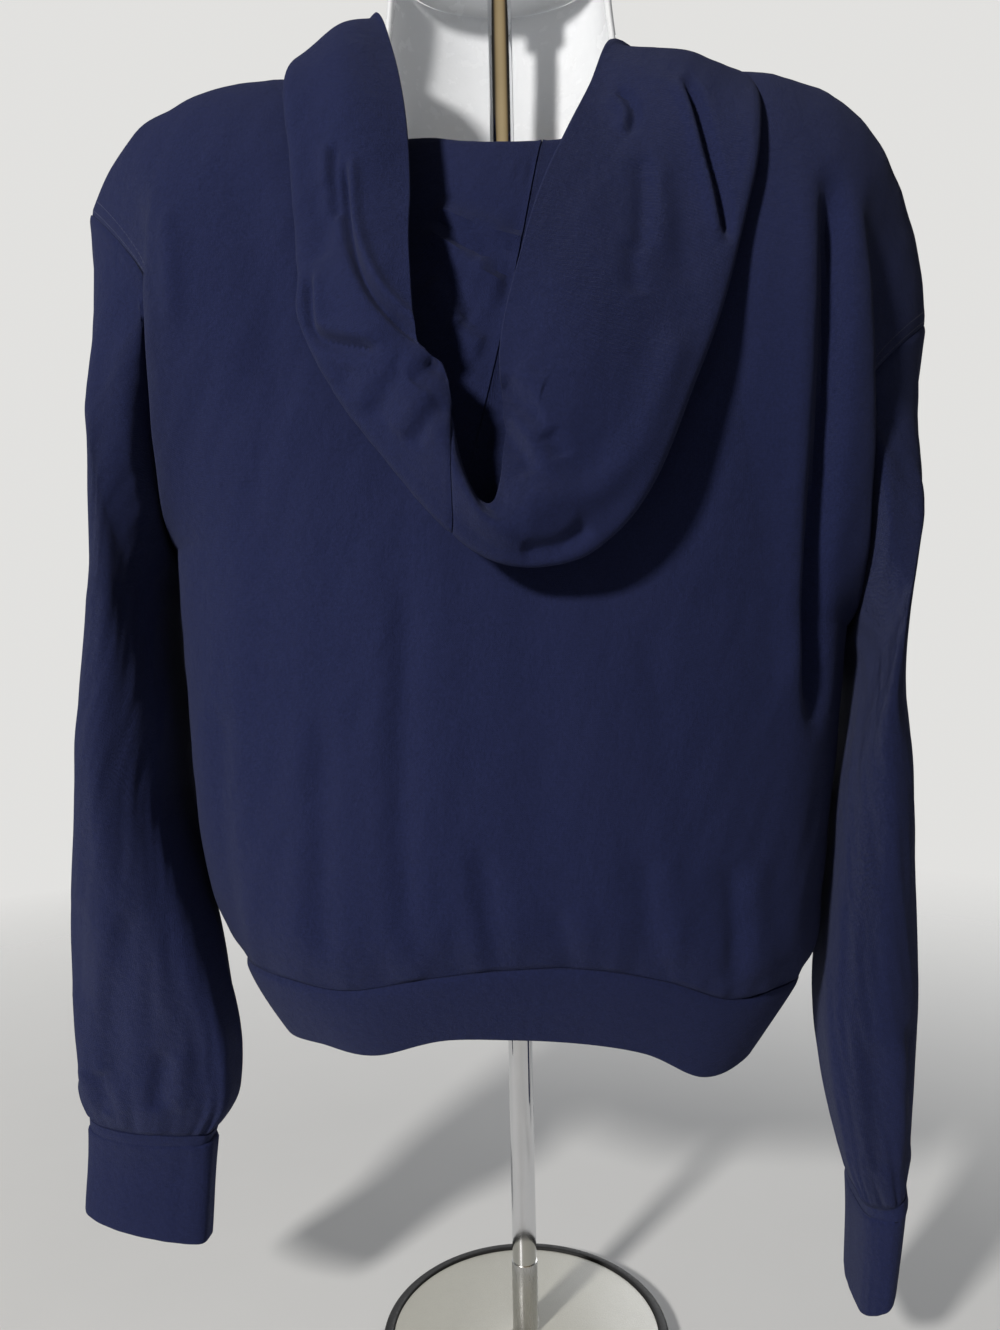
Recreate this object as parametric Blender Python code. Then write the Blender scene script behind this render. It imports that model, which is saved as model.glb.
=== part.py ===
"""A zip-up hoodie worn by a hollow-backed torso form on a pole stand.

Metres, +Z up. The garment's front faces -Y, its back +Y and the wearer's left +X.
The pole stands on X = Y = 0 and the base rests on Z = 0.
"""

import math

import bpy
import numpy as np
from mathutils import Vector
from mathutils.bvhtree import BVHTree

# Cloth
CLOTH = 0.0016
RIB = 0.0028
SEAM_GAP = 0.0003
SEAM_PULL = 0.00022
HOOD_PULL = 0.0006
CLEARING_ROUNDS = 4
RIDGE_LEAN = 0.5
INSIDE_REACH = 0.006

# Stand
BASE_RADIUS = 0.0835
BASE_HEIGHT = 0.009
RIM_OUTLINE = (
    (0.0838, 0),
    (0.0890, 0),
    (0.0900, 0.0010),
    (0.0900, 0.0085),
    (0.0880, 0.0105),
    (0.0838, 0.0105),
)
POLE_RADIUS = 0.0076
POLE_HOLE = 0.0079
POLE_TOP = 0.880
COLLAR_RADIUS = 0.013
COLLAR_BOTTOM = 0.858
CAP_BOTTOM = 0.8725
CAP_HEIGHT = 0.004
CAP_WIDTH = 0.0665
CAP_FRONT = -0.051
CAP_SIDE = 0.002
CAP_BACK = 0.014
KNOB_OUTLINE = ((0.0076, 0), (0.0105, 0.003), (0.0115, 0.008), (0.0100, 0.013), (0.0055, 0.0165))
FORM_WALL = 0.003
ROUND_SPACES = 48

# Zip
ZIP_CHAIN = 0.006
ZIP_CHAIN_DEEP = 0.0024
ZIP_TAPE = 0.001
ZIP_TURN = 0.006
ZIP_EDGE = 0.0078
ZIP_BAND_ROWS = 3
ZIP_ROWS = 18
TAPE_TOP = 1.97
SLIDER_HEIGHT = 1.88
CHAIN_TOP = 1.775
CHAIN_BOTTOM = -0.84
BOX_TOP = -0.86
BOX_BOTTOM = -0.99
BOX_DEEP = 0.0045

# The slider, in its own frame: Z up along the zip and -Y out of the cloth
PLATE_WIDE = 0.005
PLATE_LONG = 0.007
PLATE_IN = 0.0017
PLATE_OUT = 0.0033
EDGE_ROUND = 0.0004
FINE_ROUND = 0.0002
# Each piece: name, half width, its side near the cloth, its far side, bottom and top
SLIDER_PIECES = (
    ("slider_core", 0.0026, 0.0022, -0.0022, 0.0002, 0.0062),
    ("bridge_foot", 0.0011, -0.0029, -0.0060, -0.0042, -0.0026),
    ("bridge_head", 0.0011, -0.0029, -0.0060, 0.0026, 0.0042),
    ("bridge_arch", 0.0011, -0.0057, -0.0069, -0.0042, 0.0042),
)
TAB_AXIS = -0.0046
TAB_WIDE = 0.0031
TAB_HALF = 0.0008
TAB_EYE = 0.0058
TAB_LONG = 0.028
# Each piece, about the tab's axis: name, left, right, bottom and top
TAB_PIECES = (
    ("tab_bar", -0.0031, 0.0031, -0.0008, 0.0008),
    ("tab_left", 0.0017, 0.0031, -0.0064, 0.0004),
    ("tab_right", -0.0031, -0.0017, -0.0064, 0.0004),
)

# Grid of the torso: spaces across one half, below the underarm and above it
SHOULDER_SPACES = 6
NAPE_SPACES = 12
THROAT_SPACES = 5
LOWER_ROWS = 10
UPPER_ROWS = 8
BAND_ROWS = 2
# Down the hood's cloth: from the neck seam to the fold, round it, and up to the face edge
HOOD_SHARES = (
    0, 0.04, 0.08, 0.12, 0.18, 0.26, 0.36, 0.44, 0.49,
    0.51, 0.53, 0.55, 0.57, 0.64, 0.75, 0.87, 1,
)
HOOD_TURN_START = 0.49
HOOD_TURN_END = 0.57
SLEEVE_ROWS = 18
SEAM_SHARE = 0.30
SEAM_LOW = -0.2
CUFF_ROWS = 2
SLEEVE_CLEAR = 0.0030
FORM_CLEAR = 0.0030

# The torso's middle line in depth, where the side seams run
SIDE_Y = -0.010
TORSO_SQUARE = 2.5

# Rings of the torso tube from the hem seam (0) to the underarm (1)
TORSO_COLUMNS = ("share", "left", "right", "back", "front")
TORSO = (
    (0.00, 0.1690, -0.1740, 0.0960, -0.1150),
    (0.07, 0.1780, -0.1820, 0.1030, -0.1220),
    (0.25, 0.1910, -0.1880, 0.1060, -0.1260),
    (0.50, 0.1990, -0.1950, 0.1030, -0.1250),
    (0.75, 0.2040, -0.2020, 0.0985, -0.1210),
    (1.00, 0.2070, -0.2080, 0.0950, -0.1160),
)
# The hem band's bottom ring is pulled in below its seam
BAND_BOTTOM = dict(left=0.146, right=-0.153, back=0.080, front=-0.098)

# Heights of the band's seam and of its bottom edge, round the hem from the left side
HEM_COLUMNS = ("turn", "seam", "bottom")
HEM = (
    (0.00, 0.250, 0.212),
    (0.06, 0.256, 0.212),
    (0.12, 0.256, 0.214),
    (0.17, 0.254, 0.213),
    (0.22, 0.263, 0.224),
    (0.26, 0.267, 0.222),
    (0.31, 0.257, 0.212),
    (0.35, 0.243, 0.195),
    (0.40, 0.242, 0.198),
    (0.45, 0.240, 0.213),
    (0.50, 0.238, 0.206),
    (0.58, 0.246, 0.203),
    (0.66, 0.240, 0.192),
    (0.75, 0.246, 0.198),
    (0.84, 0.241, 0.194),
    (0.92, 0.252, 0.208),
    (1.00, 0.250, 0.212),
)

UNDERARM_LEFT = (0.2070, SIDE_Y, 0.505)
UNDERARM_RIGHT = (-0.2080, SIDE_Y, 0.450)
ARMHOLE_DEPTH = 0.070
# An armhole's edge is upright up to this share of its height and leans outwards above it
ARMHOLE_UPRIGHT_LEFT = 0.70
ARMHOLE_UPRIGHT_RIGHT = 0.73
# Below that the seam lies in the valley between the body and the sleeve
ARMHOLE_RECESS = 0.026
ARMHOLE_BODY = (0.10, 0.50)
ARMHOLE_BODY_VALLEY = 0.16
ARMHOLE_SLEEVE_FADE = 0.20
ARMHOLE_VALLEY = 0.10

# Shoulder lines from the armhole (0) to the neck (1)
SHOULDER_COLUMNS = ("share", "x", "z")
SHOULDER_LEFT = (
    (0.00, 0.261, 0.720),
    (0.20, 0.245, 0.748),
    (0.40, 0.218, 0.773),
    (0.60, 0.182, 0.788),
    (0.80, 0.137, 0.795),
    (1.00, 0.090, 0.793),
)
SHOULDER_RIGHT = (
    (0.00, -0.266, 0.640),
    (0.20, -0.258, 0.697),
    (0.40, -0.238, 0.745),
    (0.60, -0.204, 0.779),
    (0.80, -0.152, 0.795),
    (1.00, -0.090, 0.793),
)
SHOULDER_SHARE = 0.28
NECK_BACK = (0.060, 0.716)
NECK_FRONT = (-0.100, 0.704)
NECK_ROUND = 0.9
UPPER_BULGE = 0.010
SHOULDER_SQUARE = 2.5

# Sleeve sections from the armhole (0) to the cuff's seam (1) and its end (2)
SLEEVE_COLUMNS = (
    "share", "outer_x", "outer_y", "outer_z", "inner_x", "inner_y", "inner_z", "depth",
)
SLEEVE_LEFT = (
    (0.00, 0.2610, -0.010, 0.720, 0.2070, -0.010, 0.505, 0.070),
    (0.12, 0.2590, -0.008, 0.655, 0.2125, -0.008, 0.480, 0.072),
    (0.26, 0.2560, -0.004, 0.570, 0.2120, -0.004, 0.445, 0.073),
    (0.40, 0.2555, 0.002, 0.480, 0.2070, 0.002, 0.400, 0.070),
    (0.54, 0.2590, 0.006, 0.400, 0.2060, 0.010, 0.352, 0.062),
    (0.68, 0.2650, 0.012, 0.325, 0.1940, 0.022, 0.305, 0.048),
    (0.80, 0.2690, 0.014, 0.262, 0.1790, 0.036, 0.255, 0.036),
    (0.90, 0.2690, 0.022, 0.208, 0.1690, 0.038, 0.206, 0.028),
    (0.96, 0.2660, 0.026, 0.178, 0.1720, 0.036, 0.174, 0.024),
    (1.00, 0.2600, 0.028, 0.164, 0.1830, 0.034, 0.158, 0.019),
    (1.10, 0.2600, 0.028, 0.156, 0.1840, 0.034, 0.150, 0.017),
    (2.00, 0.2640, 0.026, 0.106, 0.1890, 0.034, 0.092, 0.015),
)
SLEEVE_RIGHT = (
    (0.00, -0.2660, -0.010, 0.640, -0.2080, -0.010, 0.450, 0.070),
    (0.12, -0.2560, -0.006, 0.577, -0.2110, -0.008, 0.425, 0.072),
    (0.26, -0.2465, 0.002, 0.505, -0.2060, -0.002, 0.393, 0.073),
    (0.40, -0.2390, 0.008, 0.430, -0.1990, 0.002, 0.353, 0.071),
    (0.54, -0.2385, 0.012, 0.360, -0.1930, 0.007, 0.308, 0.066),
    (0.68, -0.2385, 0.016, 0.290, -0.1880, 0.011, 0.262, 0.058),
    (0.80, -0.2380, 0.022, 0.230, -0.1840, 0.016, 0.212, 0.050),
    (0.90, -0.2350, 0.025, 0.175, -0.1890, 0.019, 0.160, 0.044),
    (0.96, -0.2320, 0.025, 0.140, -0.1960, 0.020, 0.128, 0.041),
    (1.00, -0.2280, 0.024, 0.120, -0.2010, 0.022, 0.110, 0.038),
    (1.10, -0.2270, 0.024, 0.112, -0.2010, 0.022, 0.102, 0.037),
    (2.00, -0.2220, 0.024, 0.056, -0.1990, 0.022, 0.046, 0.035),
)

# The hood lies down the back as a bag. Each section starts at the neck seam, at an angle round
# the neck from the centre front, rolls over, runs down to the fold and comes back to the edge
# of the face opening.
HOOD_COLUMNS = ("turn", "neck", "edge_x", "edge_y", "edge_z", "fold_x", "fold_y", "fold_z")
HOOD = (
    (0.000, 6, 0.006, -0.120, 0.754, 0.012, -0.144, 0.712),
    (0.080, 32, 0.040, -0.110, 0.772, 0.060, -0.134, 0.726),
    (0.160, 60, 0.068, -0.070, 0.800, 0.102, -0.096, 0.757),
    (0.240, 88, 0.097, -0.022, 0.814, 0.122, -0.040, 0.796),
    (0.310, 112, 0.075, 0.030, 0.825, 0.127, 0.008, 0.793),
    (0.360, 126, 0.063, 0.060, 0.786, 0.127, 0.046, 0.748),
    (0.405, 138, 0.053, 0.088, 0.728, 0.118, 0.078, 0.696),
    (0.440, 152, 0.050, 0.106, 0.680, 0.112, 0.098, 0.640),
    (0.465, 163, 0.050, 0.120, 0.640, 0.1085, 0.108, 0.604),
    (0.485, 176, 0.045, 0.129, 0.592, 0.080, 0.115, 0.554),
    (0.500, 189, 0.032, 0.131, 0.578, 0.048, 0.121, 0.514),
    (0.515, 198, 0.029, 0.132, 0.545, 0.024, 0.122, 0.489),
    (0.530, 202, 0.020, 0.132, 0.515, 0.008, 0.122, 0.481),
    (0.545, 205, 0.008, 0.131, 0.512, -0.010, 0.122, 0.478),
    (0.560, 208, 0.004, 0.130, 0.545, -0.032, 0.122, 0.481),
    (0.580, 211, 0.005, 0.128, 0.590, -0.052, 0.122, 0.494),
    (0.605, 214, -0.008, 0.122, 0.645, -0.072, 0.120, 0.520),
    (0.635, 218, -0.020, 0.108, 0.685, -0.094, 0.114, 0.568),
    (0.665, 225, -0.034, 0.084, 0.722, -0.112, 0.104, 0.610),
    (0.700, 236, -0.050, 0.058, 0.762, -0.130, 0.088, 0.665),
    (0.740, 250, -0.066, 0.030, 0.806, -0.145, 0.060, 0.725),
    (0.790, 272, -0.095, -0.014, 0.814, -0.152, 0.000, 0.789),
    (0.860, 302, -0.062, -0.068, 0.800, -0.112, -0.092, 0.757),
    (0.930, 330, -0.038, -0.110, 0.772, -0.060, -0.134, 0.726),
    (1.000, 354, -0.006, -0.120, 0.754, -0.012, -0.144, 0.712),
)
HOOD_SEAM = 0.510
HOOD_CROWN = 0.580
HOOD_SPACES = (17, 4, 15)
HOOD_LIFT = (0.006, 0.018)
HOOD_LIFT_DROP = 0.10
HOOD_LAYERS = 0.0042
HOOD_CLEAR = 0.0040
HOOD_CLEAR_LOW = 0.0030
HOOD_FOLD = 0.0052
HOOD_PUFF = 0.008
NECK_SEAM_STEP = 0.0038

# Rings of the torso form, open at the back: the height of the rim at each side and of the middle
FORM_COLUMNS = ("ring", "rim_z", "middle_z", "width", "rim_y", "front", "shoulder")
FORM = (
    (0, 0.300, 0.300, 0.128, 0.010, -0.088, -0.088),
    (1, 0.380, 0.380, 0.122, 0.012, -0.082, -0.082),
    (2, 0.470, 0.470, 0.134, 0.012, -0.092, -0.092),
    (3, 0.560, 0.560, 0.154, 0.012, -0.104, -0.104),
    (4, 0.640, 0.640, 0.172, 0.010, -0.096, -0.092),
    (5, 0.700, 0.690, 0.187, 0.008, -0.078, -0.064),
    (6, 0.742, 0.715, 0.190, 0.006, -0.058, -0.036),
    (7, 0.768, 0.732, 0.186, 0.003, -0.048, -0.024),
    (8, 0.7816, 0.745, 0.172, -0.001, -0.046, -0.018),
    (9, 0.7897, 0.757, 0.150, -0.004, -0.046, -0.016),
    (10, 0.7907, 0.768, 0.135, -0.005, -0.046, -0.015),
    (11, 0.782, 0.775, 0.114, -0.005, -0.046, -0.014),
    (12, 0.7742, 0.782, 0.083, -0.005, -0.046, -0.010),
    (13, 0.798, 0.798, 0.076, -0.003, -0.047, -0.003),
    (14, 0.820, 0.820, 0.073, -0.002, -0.049, -0.003),
    (15, 0.846, 0.846, 0.070, -0.002, -0.050, -0.003),
    (16, 0.872, 0.872, 0.068, -0.002, -0.050, -0.003),
)
FORM_NECK = 0.072
FORM_COVERED = 12
FORM_SPACES = 20


def column(names, rows, name):
    return np.array([row[names.index(name)] for row in rows], float)


def smooth(at, knots, values):
    """Values at places between knots, along a curve whose slope follows both neighbours."""
    at = np.asarray(at, float)
    knots = np.asarray(knots, float)
    values = np.asarray(values, float)
    steps = np.diff(knots)
    slopes = np.diff(values, axis=0) / steps.reshape((-1,) + (1,) * (values.ndim - 1))
    tangents = np.empty_like(values)
    tangents[0], tangents[-1] = slopes[0], slopes[-1]
    for i in range(1, len(knots) - 1):
        before, after = steps[i - 1], steps[i]
        tangents[i] = (slopes[i - 1] * after + slopes[i] * before) / (before + after)
    cell = np.clip(np.searchsorted(knots, at, "right") - 1, 0, len(steps) - 1)
    shape = at.shape + (1,) * (values.ndim - 1)
    h = steps[cell].reshape(shape)
    t = ((at - knots[cell]) / steps[cell]).reshape(shape)
    return (
        values[cell] * (2 * t**3 - 3 * t**2 + 1)
        + tangents[cell] * h * (t**3 - 2 * t**2 + t)
        + values[cell + 1] * (3 * t**2 - 2 * t**3)
        + tangents[cell + 1] * h * (t**3 - t**2)
    )


def table(names, rows, at, wanted):
    """The wanted columns of a table, at places along its first column."""
    knots = column(names, rows, names[0])
    return [smooth(at, knots, column(names, rows, name)) for name in wanted]


def guided(guides, at):
    """Curves through guides, each a place along them and a row of points."""
    return smooth(at, [place for place, _ in guides], np.stack([points for _, points in guides]))


def power(value, exponent):
    return np.sign(value) * np.abs(value) ** exponent


def eased(share):
    share = np.clip(share, 0, 1)
    return share**2 * (3 - 2 * share)


def unit(vectors):
    return vectors / np.maximum(np.linalg.norm(vectors, axis=-1, keepdims=True), 1e-12)


def ring(turn, left, right, back, front):
    """X and Y on a rounded ring: turn 0 is the left side, 0.25 the back and 0.75 the front."""
    across = power(np.cos(2 * np.pi * turn), 2 / TORSO_SQUARE)
    deep = power(np.sin(2 * np.pi * turn), 2 / TORSO_SQUARE)
    x = np.where(across > 0, across * left, -across * right)
    y = SIDE_Y + np.where(deep > 0, deep * (back - SIDE_Y), -deep * (front - SIDE_Y))
    return x, y


def underarm_height(x):
    share = (x - UNDERARM_RIGHT[0]) / (UNDERARM_LEFT[0] - UNDERARM_RIGHT[0])
    return UNDERARM_RIGHT[2] + share * (UNDERARM_LEFT[2] - UNDERARM_RIGHT[2])


def neckline(angle):
    """The neck seam, by an angle from the centre front round by the wearer's left."""
    side_x = SHOULDER_LEFT[-1][1]
    side_z = SHOULDER_LEFT[-1][2]
    forward = np.cos(angle)
    reach = np.where(forward > 0, NECK_FRONT[0], NECK_BACK[0]) - SIDE_Y
    drop = np.where(forward > 0, NECK_FRONT[1], NECK_BACK[1]) - side_z
    x = side_x * np.sin(angle)
    y = SIDE_Y + reach * np.abs(forward)
    z = side_z + drop * np.abs(forward) ** NECK_ROUND
    return np.stack([x, y, z], -1)


def top_line(turn):
    """The shoulder seams and the neckline, above each place round the torso."""
    behind = turn <= 0.5
    share = np.where(behind, turn, 1 - turn) / 0.5
    out_left = np.clip(share / SHOULDER_SHARE, 0, 1)
    out_right = np.clip((1 - share) / SHOULDER_SHARE, 0, 1)
    left = table(SHOULDER_COLUMNS, SHOULDER_LEFT, out_left, ("x", "z"))
    right = table(SHOULDER_COLUMNS, SHOULDER_RIGHT, out_right, ("x", "z"))
    half = np.clip((share - SHOULDER_SHARE) / (1 - 2 * SHOULDER_SHARE), 0, 1) * np.pi
    angle = np.where(behind, np.pi / 2 + half, np.pi / 2 - half)
    neck = neckline(angle)
    level = np.full_like(share, SIDE_Y)
    points = np.where((share < SHOULDER_SHARE)[..., None], np.stack([left[0], level, left[1]], -1), neck)
    on_right = (share > 1 - SHOULDER_SHARE)[..., None]
    return np.where(on_right, np.stack([right[0], level, right[1]], -1), points), share


def armhole_lean(lift, upright):
    """How much further in an armhole's edge lies than a straight one, as a share of its width."""
    above = np.clip((lift - upright) / (1 - upright), 0, 1)
    return above**1.2 - lift


def armhole_recess(lift, upright):
    """How deep an armhole's edge lies in the valley beside the sleeve."""
    return ARMHOLE_RECESS * np.sin(np.pi * np.clip(lift / upright, 0, 1)) ** 2


def lower_torso(turn, share):
    """The body below the underarms, from the hem seam (0) to the underarm (1)."""
    sizes = table(TORSO_COLUMNS, TORSO, share, TORSO_COLUMNS[1:])
    x, y = ring(turn, *sizes)
    seam, = table(HEM_COLUMNS, HEM, turn, ("seam",))
    z = seam + (underarm_height(x) - seam) * share
    return np.stack([x, y, z], -1)


def upper_torso(turn, share):
    """The body above the underarms, from the underarm (0) to the shoulder and neckline (1)."""
    start = lower_torso(turn, np.ones_like(share))
    top, across = top_line(turn)
    inward = 1 - np.abs(2 * across - 1)
    inside = eased(inward / 0.6)
    rise = np.sin(share * np.pi / 2)
    swing = (1 - np.cos(share * np.pi)) / 2
    lift = swing + (rise - swing) * inside
    square = SHOULDER_SQUARE - (SHOULDER_SQUARE - 1) * eased((inward - 0.4) / 0.5)
    depth = (1 - lift**square) ** (1 / square)
    side = np.abs(start[..., 1] - SIDE_Y) / np.where(start[..., 1] > SIDE_Y, 0.105, 0.106)
    sign = np.where(turn <= 0.5, 1.0, -1.0)
    belly = ARMHOLE_DEPTH * (1 - np.clip(side, 0, 1)) ** 1.0 + UPPER_BULGE * inside
    upright = np.where(across < 0.5, ARMHOLE_UPRIGHT_LEFT, ARMHOLE_UPRIGHT_RIGHT)
    lean = armhole_lean(lift, upright)
    near_edge = 1 - eased((inward - ARMHOLE_BODY[0]) / (ARMHOLE_BODY[1] - ARMHOLE_BODY[0]))
    recess = armhole_recess(swing, upright) * (1 - eased(inward / ARMHOLE_BODY_VALLEY))
    x = start[..., 0] + (top[..., 0] - start[..., 0]) * (lift + lean * near_edge)
    y = top[..., 1] + (start[..., 1] - top[..., 1]) * depth + sign * (belly * np.sin(share * np.pi) - recess)
    z = start[..., 2] + (top[..., 2] - start[..., 2]) * lift
    return np.stack([x, y, z], -1)


def torso(turn, height):
    """The whole body: heights 0 to 1 lie below the underarm and 1 to 2 above it."""
    turn, height = np.broadcast_arrays(np.asarray(turn, float), np.asarray(height, float))
    low = lower_torso(turn, np.clip(height, 0, 1))
    high = upper_torso(turn, np.clip(height - 1, 0, 1))
    return np.where((height <= 1)[..., None], low, high)


def band(turn, share):
    """The hem band, from its seam (0) down to its bottom edge (1)."""
    turn, share = np.broadcast_arrays(np.asarray(turn, float), np.asarray(share, float))
    sizes = table(TORSO_COLUMNS, TORSO, np.zeros_like(share), TORSO_COLUMNS[1:])
    low = [BAND_BOTTOM[name] for name in TORSO_COLUMNS[1:]]
    easing = share**1.3
    x, y = ring(turn, *[a + (b - a) * easing for a, b in zip(sizes, low)])
    seam, bottom = table(HEM_COLUMNS, HEM, turn, ("seam", "bottom"))
    return np.stack([x, y, seam + (bottom - seam) * share], -1)


def sleeve(rows, turn, share):
    """A sleeve and its cuff: turn 0 is the underarm seam, 0.25 the back and 0.5 the outside."""
    turn, share = np.broadcast_arrays(np.asarray(turn, float), np.asarray(share, float))
    values = table(SLEEVE_COLUMNS, rows, share, SLEEVE_COLUMNS[1:])
    outer = np.stack(values[0:3], -1)
    inner = np.stack(values[3:6], -1)
    middle = (outer + inner) / 2
    half = (outer - inner) / 2
    flat = unit(half * (1, 1, 0))
    sideways = np.stack([-flat[..., 1], flat[..., 0], np.zeros_like(share)], -1)
    sideways = sideways * np.sign(rows[0][1])
    angle = 2 * np.pi * turn
    upright = ARMHOLE_UPRIGHT_LEFT if rows[0][1] > 0 else ARMHOLE_UPRIGHT_RIGHT
    lift = (1 - np.cos(angle)) / 2
    valley = armhole_recess(lift, upright) * (1 - eased(share / ARMHOLE_VALLEY))
    depth = values[6] * np.sin(angle) - np.sign(np.sin(angle)) * valley
    shift = (rows[0][1] - rows[0][4]) * armhole_lean(lift, upright)
    shift = shift * (1 - eased(share / ARMHOLE_SLEEVE_FADE))
    points = middle - half * np.cos(angle)[..., None] + sideways * depth[..., None]
    return points + shift[..., None] * (1, 0, 0)


def quads(rows, columns, wraps=False):
    """Faces of a grid of points, with its first index down the rows."""
    faces = []
    for i in range(rows - 1):
        for j in range(columns if wraps else columns - 1):
            k = (j + 1) % columns
            faces.append((i * columns + j, i * columns + k, (i + 1) * columns + k, (i + 1) * columns + j))
    return faces


def halved(faces):
    """Each four-sided face as two triangles, so that both sides of a wall bend along the same line."""
    return [half for a, b, c, d in faces for half in ((a, b, c), (a, c, d))]


def tree_of(points):
    rows, columns = points.shape[:2]
    flat = [Vector(point) for point in points.reshape(-1, 3)]
    return BVHTree.FromPolygons(flat, quads(rows, columns))


def offsets(points, tree, gap, outside):
    """How far each point must move, square to the nearest surface, to lie the gap away from it."""
    side = 1 if outside else -1
    gaps = np.broadcast_to(gap, len(points))
    moves = np.zeros_like(points)
    for index, (point, gap) in enumerate(zip(points, gaps)):
        place, normal, _, distance = tree.find_nearest(Vector(point))
        height = side * (Vector(point) - place).dot(normal)
        over_surface = abs(height) > RIDGE_LEAN * distance and (outside or distance < INSIDE_REACH)
        if over_surface and height < gap:
            moves[index] = normal * side * (gap - height)
    return moves


def moved_to(points, tree, gap, outside=True):
    """Points nearer than the gap to a surface, or past it, moved to that distance from it."""
    flat = points.reshape(-1, 3)
    return (flat + offsets(flat, tree, gap, outside)).reshape(points.shape)


def cleared(points, tree, gap, outside=True):
    """A grid whose points are moved until the middles of its cells and edges are clear too."""
    points = moved_to(points, tree, gap, outside)
    for _ in range(CLEARING_ROUNDS):
        for rows, columns in (((0, 1), (0, 1)), ((0, 0), (0, 1)), ((0, 1), (0, 0))):
            corners = [(a, b) for a in set(rows) for b in set(columns)]
            height = points.shape[0] - max(rows)
            width = points.shape[1] - max(columns)
            cells = [points[a : a + height, b : b + width] for a, b in corners]
            middle = sum(cells) / len(cells)
            moves = offsets(middle.reshape(-1, 3), tree, gap, outside).reshape(middle.shape)
            for cell in cells:
                cell += moves
    return points


EDGE = 1e-6
STEP = 0.002


def torso_normals(turn, height, behind):
    """Outward directions of the body. Above the underarm a panel ends at its armhole."""
    low, high = (0, 0.5) if behind else (0.5 + EDGE, 1 - EDGE)
    above_arm = height > 1
    after = np.where(above_arm, np.clip(turn + STEP, low, high), np.mod(turn + STEP, 1))
    before = np.where(above_arm, np.clip(turn - STEP, low, high), np.mod(turn - STEP, 1))
    along = torso(after, height) - torso(before, height)
    up = torso(turn, np.clip(height + STEP, 0, 2)) - torso(turn, np.clip(height - STEP, 0, 2))
    return unit(np.cross(along, up))


def grid_normals(points, wraps=False):
    """Directions square to a grid of points: at each, the mean of those of the cells round it."""
    if wraps:
        points = np.concatenate([points[:, -1:], points, points[:, :1]], 1)
    across = points[:-1, 1:] - points[1:, :-1]
    cells = unit(np.cross(across, points[1:, 1:] - points[:-1, :-1]))
    cells = np.pad(cells, ((1, 1), (1, 1), (0, 0)))
    normals = unit(cells[:-1, :-1] + cells[:-1, 1:] + cells[1:, :-1] + cells[1:, 1:])
    return normals[:, 1:-1] if wraps else normals


def pulled(points, borders, by=SEAM_PULL):
    """A grid whose named borders are drawn in by half a seam's gap."""
    points = points.copy()
    places = {
        "first_row": (np.s_[0], np.s_[1]),
        "last_row": (np.s_[-1], np.s_[-2]),
        "first_column": (np.s_[:, 0], np.s_[:, 1]),
        "last_column": (np.s_[:, -1], np.s_[:, -2]),
    }
    for border in borders:
        edge, inner = places[border]
        points[edge] += unit(points[inner] - points[edge]) * by
    return points


def material(name, colour, roughness, metallic=0.0):
    made = bpy.data.materials.new(name)
    made.use_nodes = True
    shader = made.node_tree.nodes["Principled BSDF"]
    shader.inputs["Base Color"].default_value = (*colour, 1)
    shader.inputs["Roughness"].default_value = roughness
    shader.inputs["Metallic"].default_value = metallic
    return made


def mesh_object(name, points, faces, surface):
    """An object of these points and faces, turned so that its faces look outwards."""
    points = np.asarray(points, float).reshape(-1, 3)
    volume = 0.0
    for face in faces:
        for i in range(1, len(face) - 1):
            volume += np.dot(points[face[0]], np.cross(points[face[i]], points[face[i + 1]]))
    if volume < 0:
        faces = [tuple(reversed(face)) for face in faces]
    mesh = bpy.data.meshes.new(name)
    mesh.from_pydata([tuple(point) for point in points], [], faces)
    mesh.materials.append(surface)
    made = bpy.data.objects.new(name, mesh)
    bpy.context.scene.collection.objects.link(made)
    return made


def wall(name, points, normals, thickness, surface, wraps=False):
    """A sheet of cloth or plastic as a solid: two copies of a grid joined round its borders."""
    rows, columns = points.shape[:2]
    count = rows * columns
    outer = points + normals * thickness / 2
    inner = points - normals * thickness / 2
    front = halved(quads(rows, columns, wraps))
    faces = front + [tuple(index + count for index in reversed(face)) for face in front]
    last = (rows - 1) * columns
    for j in range(columns if wraps else columns - 1):
        k = (j + 1) % columns
        faces.append((k, j, j + count, k + count))
        faces.append((last + j, last + k, last + k + count, last + j + count))
    if not wraps:
        for i in range(rows - 1):
            a, b = i * columns, (i + 1) * columns
            faces.append((a, b, b + count, a + count))
            c, d = a + columns - 1, b + columns - 1
            faces.append((d, c, c + count, d + count))
    both = np.concatenate([outer.reshape(-1, 3), inner.reshape(-1, 3)])
    return mesh_object(name, both, faces, surface)


def armhole(rows):
    """Shared directions of body and sleeve round an armhole, and how far the sleeve folds back."""
    left = rows[0][1] > 0
    spaces = 2 * UPPER_ROWS
    turns = np.arange(spaces) / spaces
    behind = turns <= 0.5
    height = 1 + np.where(behind, turns, 1 - turns) * 2
    back = torso_normals(np.full(spaces, 0.0 if left else 0.5), height, True)
    front = torso_normals(np.full(spaces, 1 - EDGE if left else 0.5 + EDGE), height, False)
    body = np.where(behind[:, None], back, front)
    down = sleeve(rows, turns, 2 * STEP) - sleeve(rows, turns, 0)
    along = sleeve(rows, turns + STEP, 0) - sleeve(rows, turns - STEP, 0)
    arm = unit(np.cross(along, down)) * (1 if left else -1)
    folded = np.clip((0.99 - (body * arm).sum(-1)) / 0.4, 0, 1)[:, None]
    both = unit(body + arm + EDGE)
    return unit(both + (body - both) * folded), unit(both + (arm - both) * folded), body * folded


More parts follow.
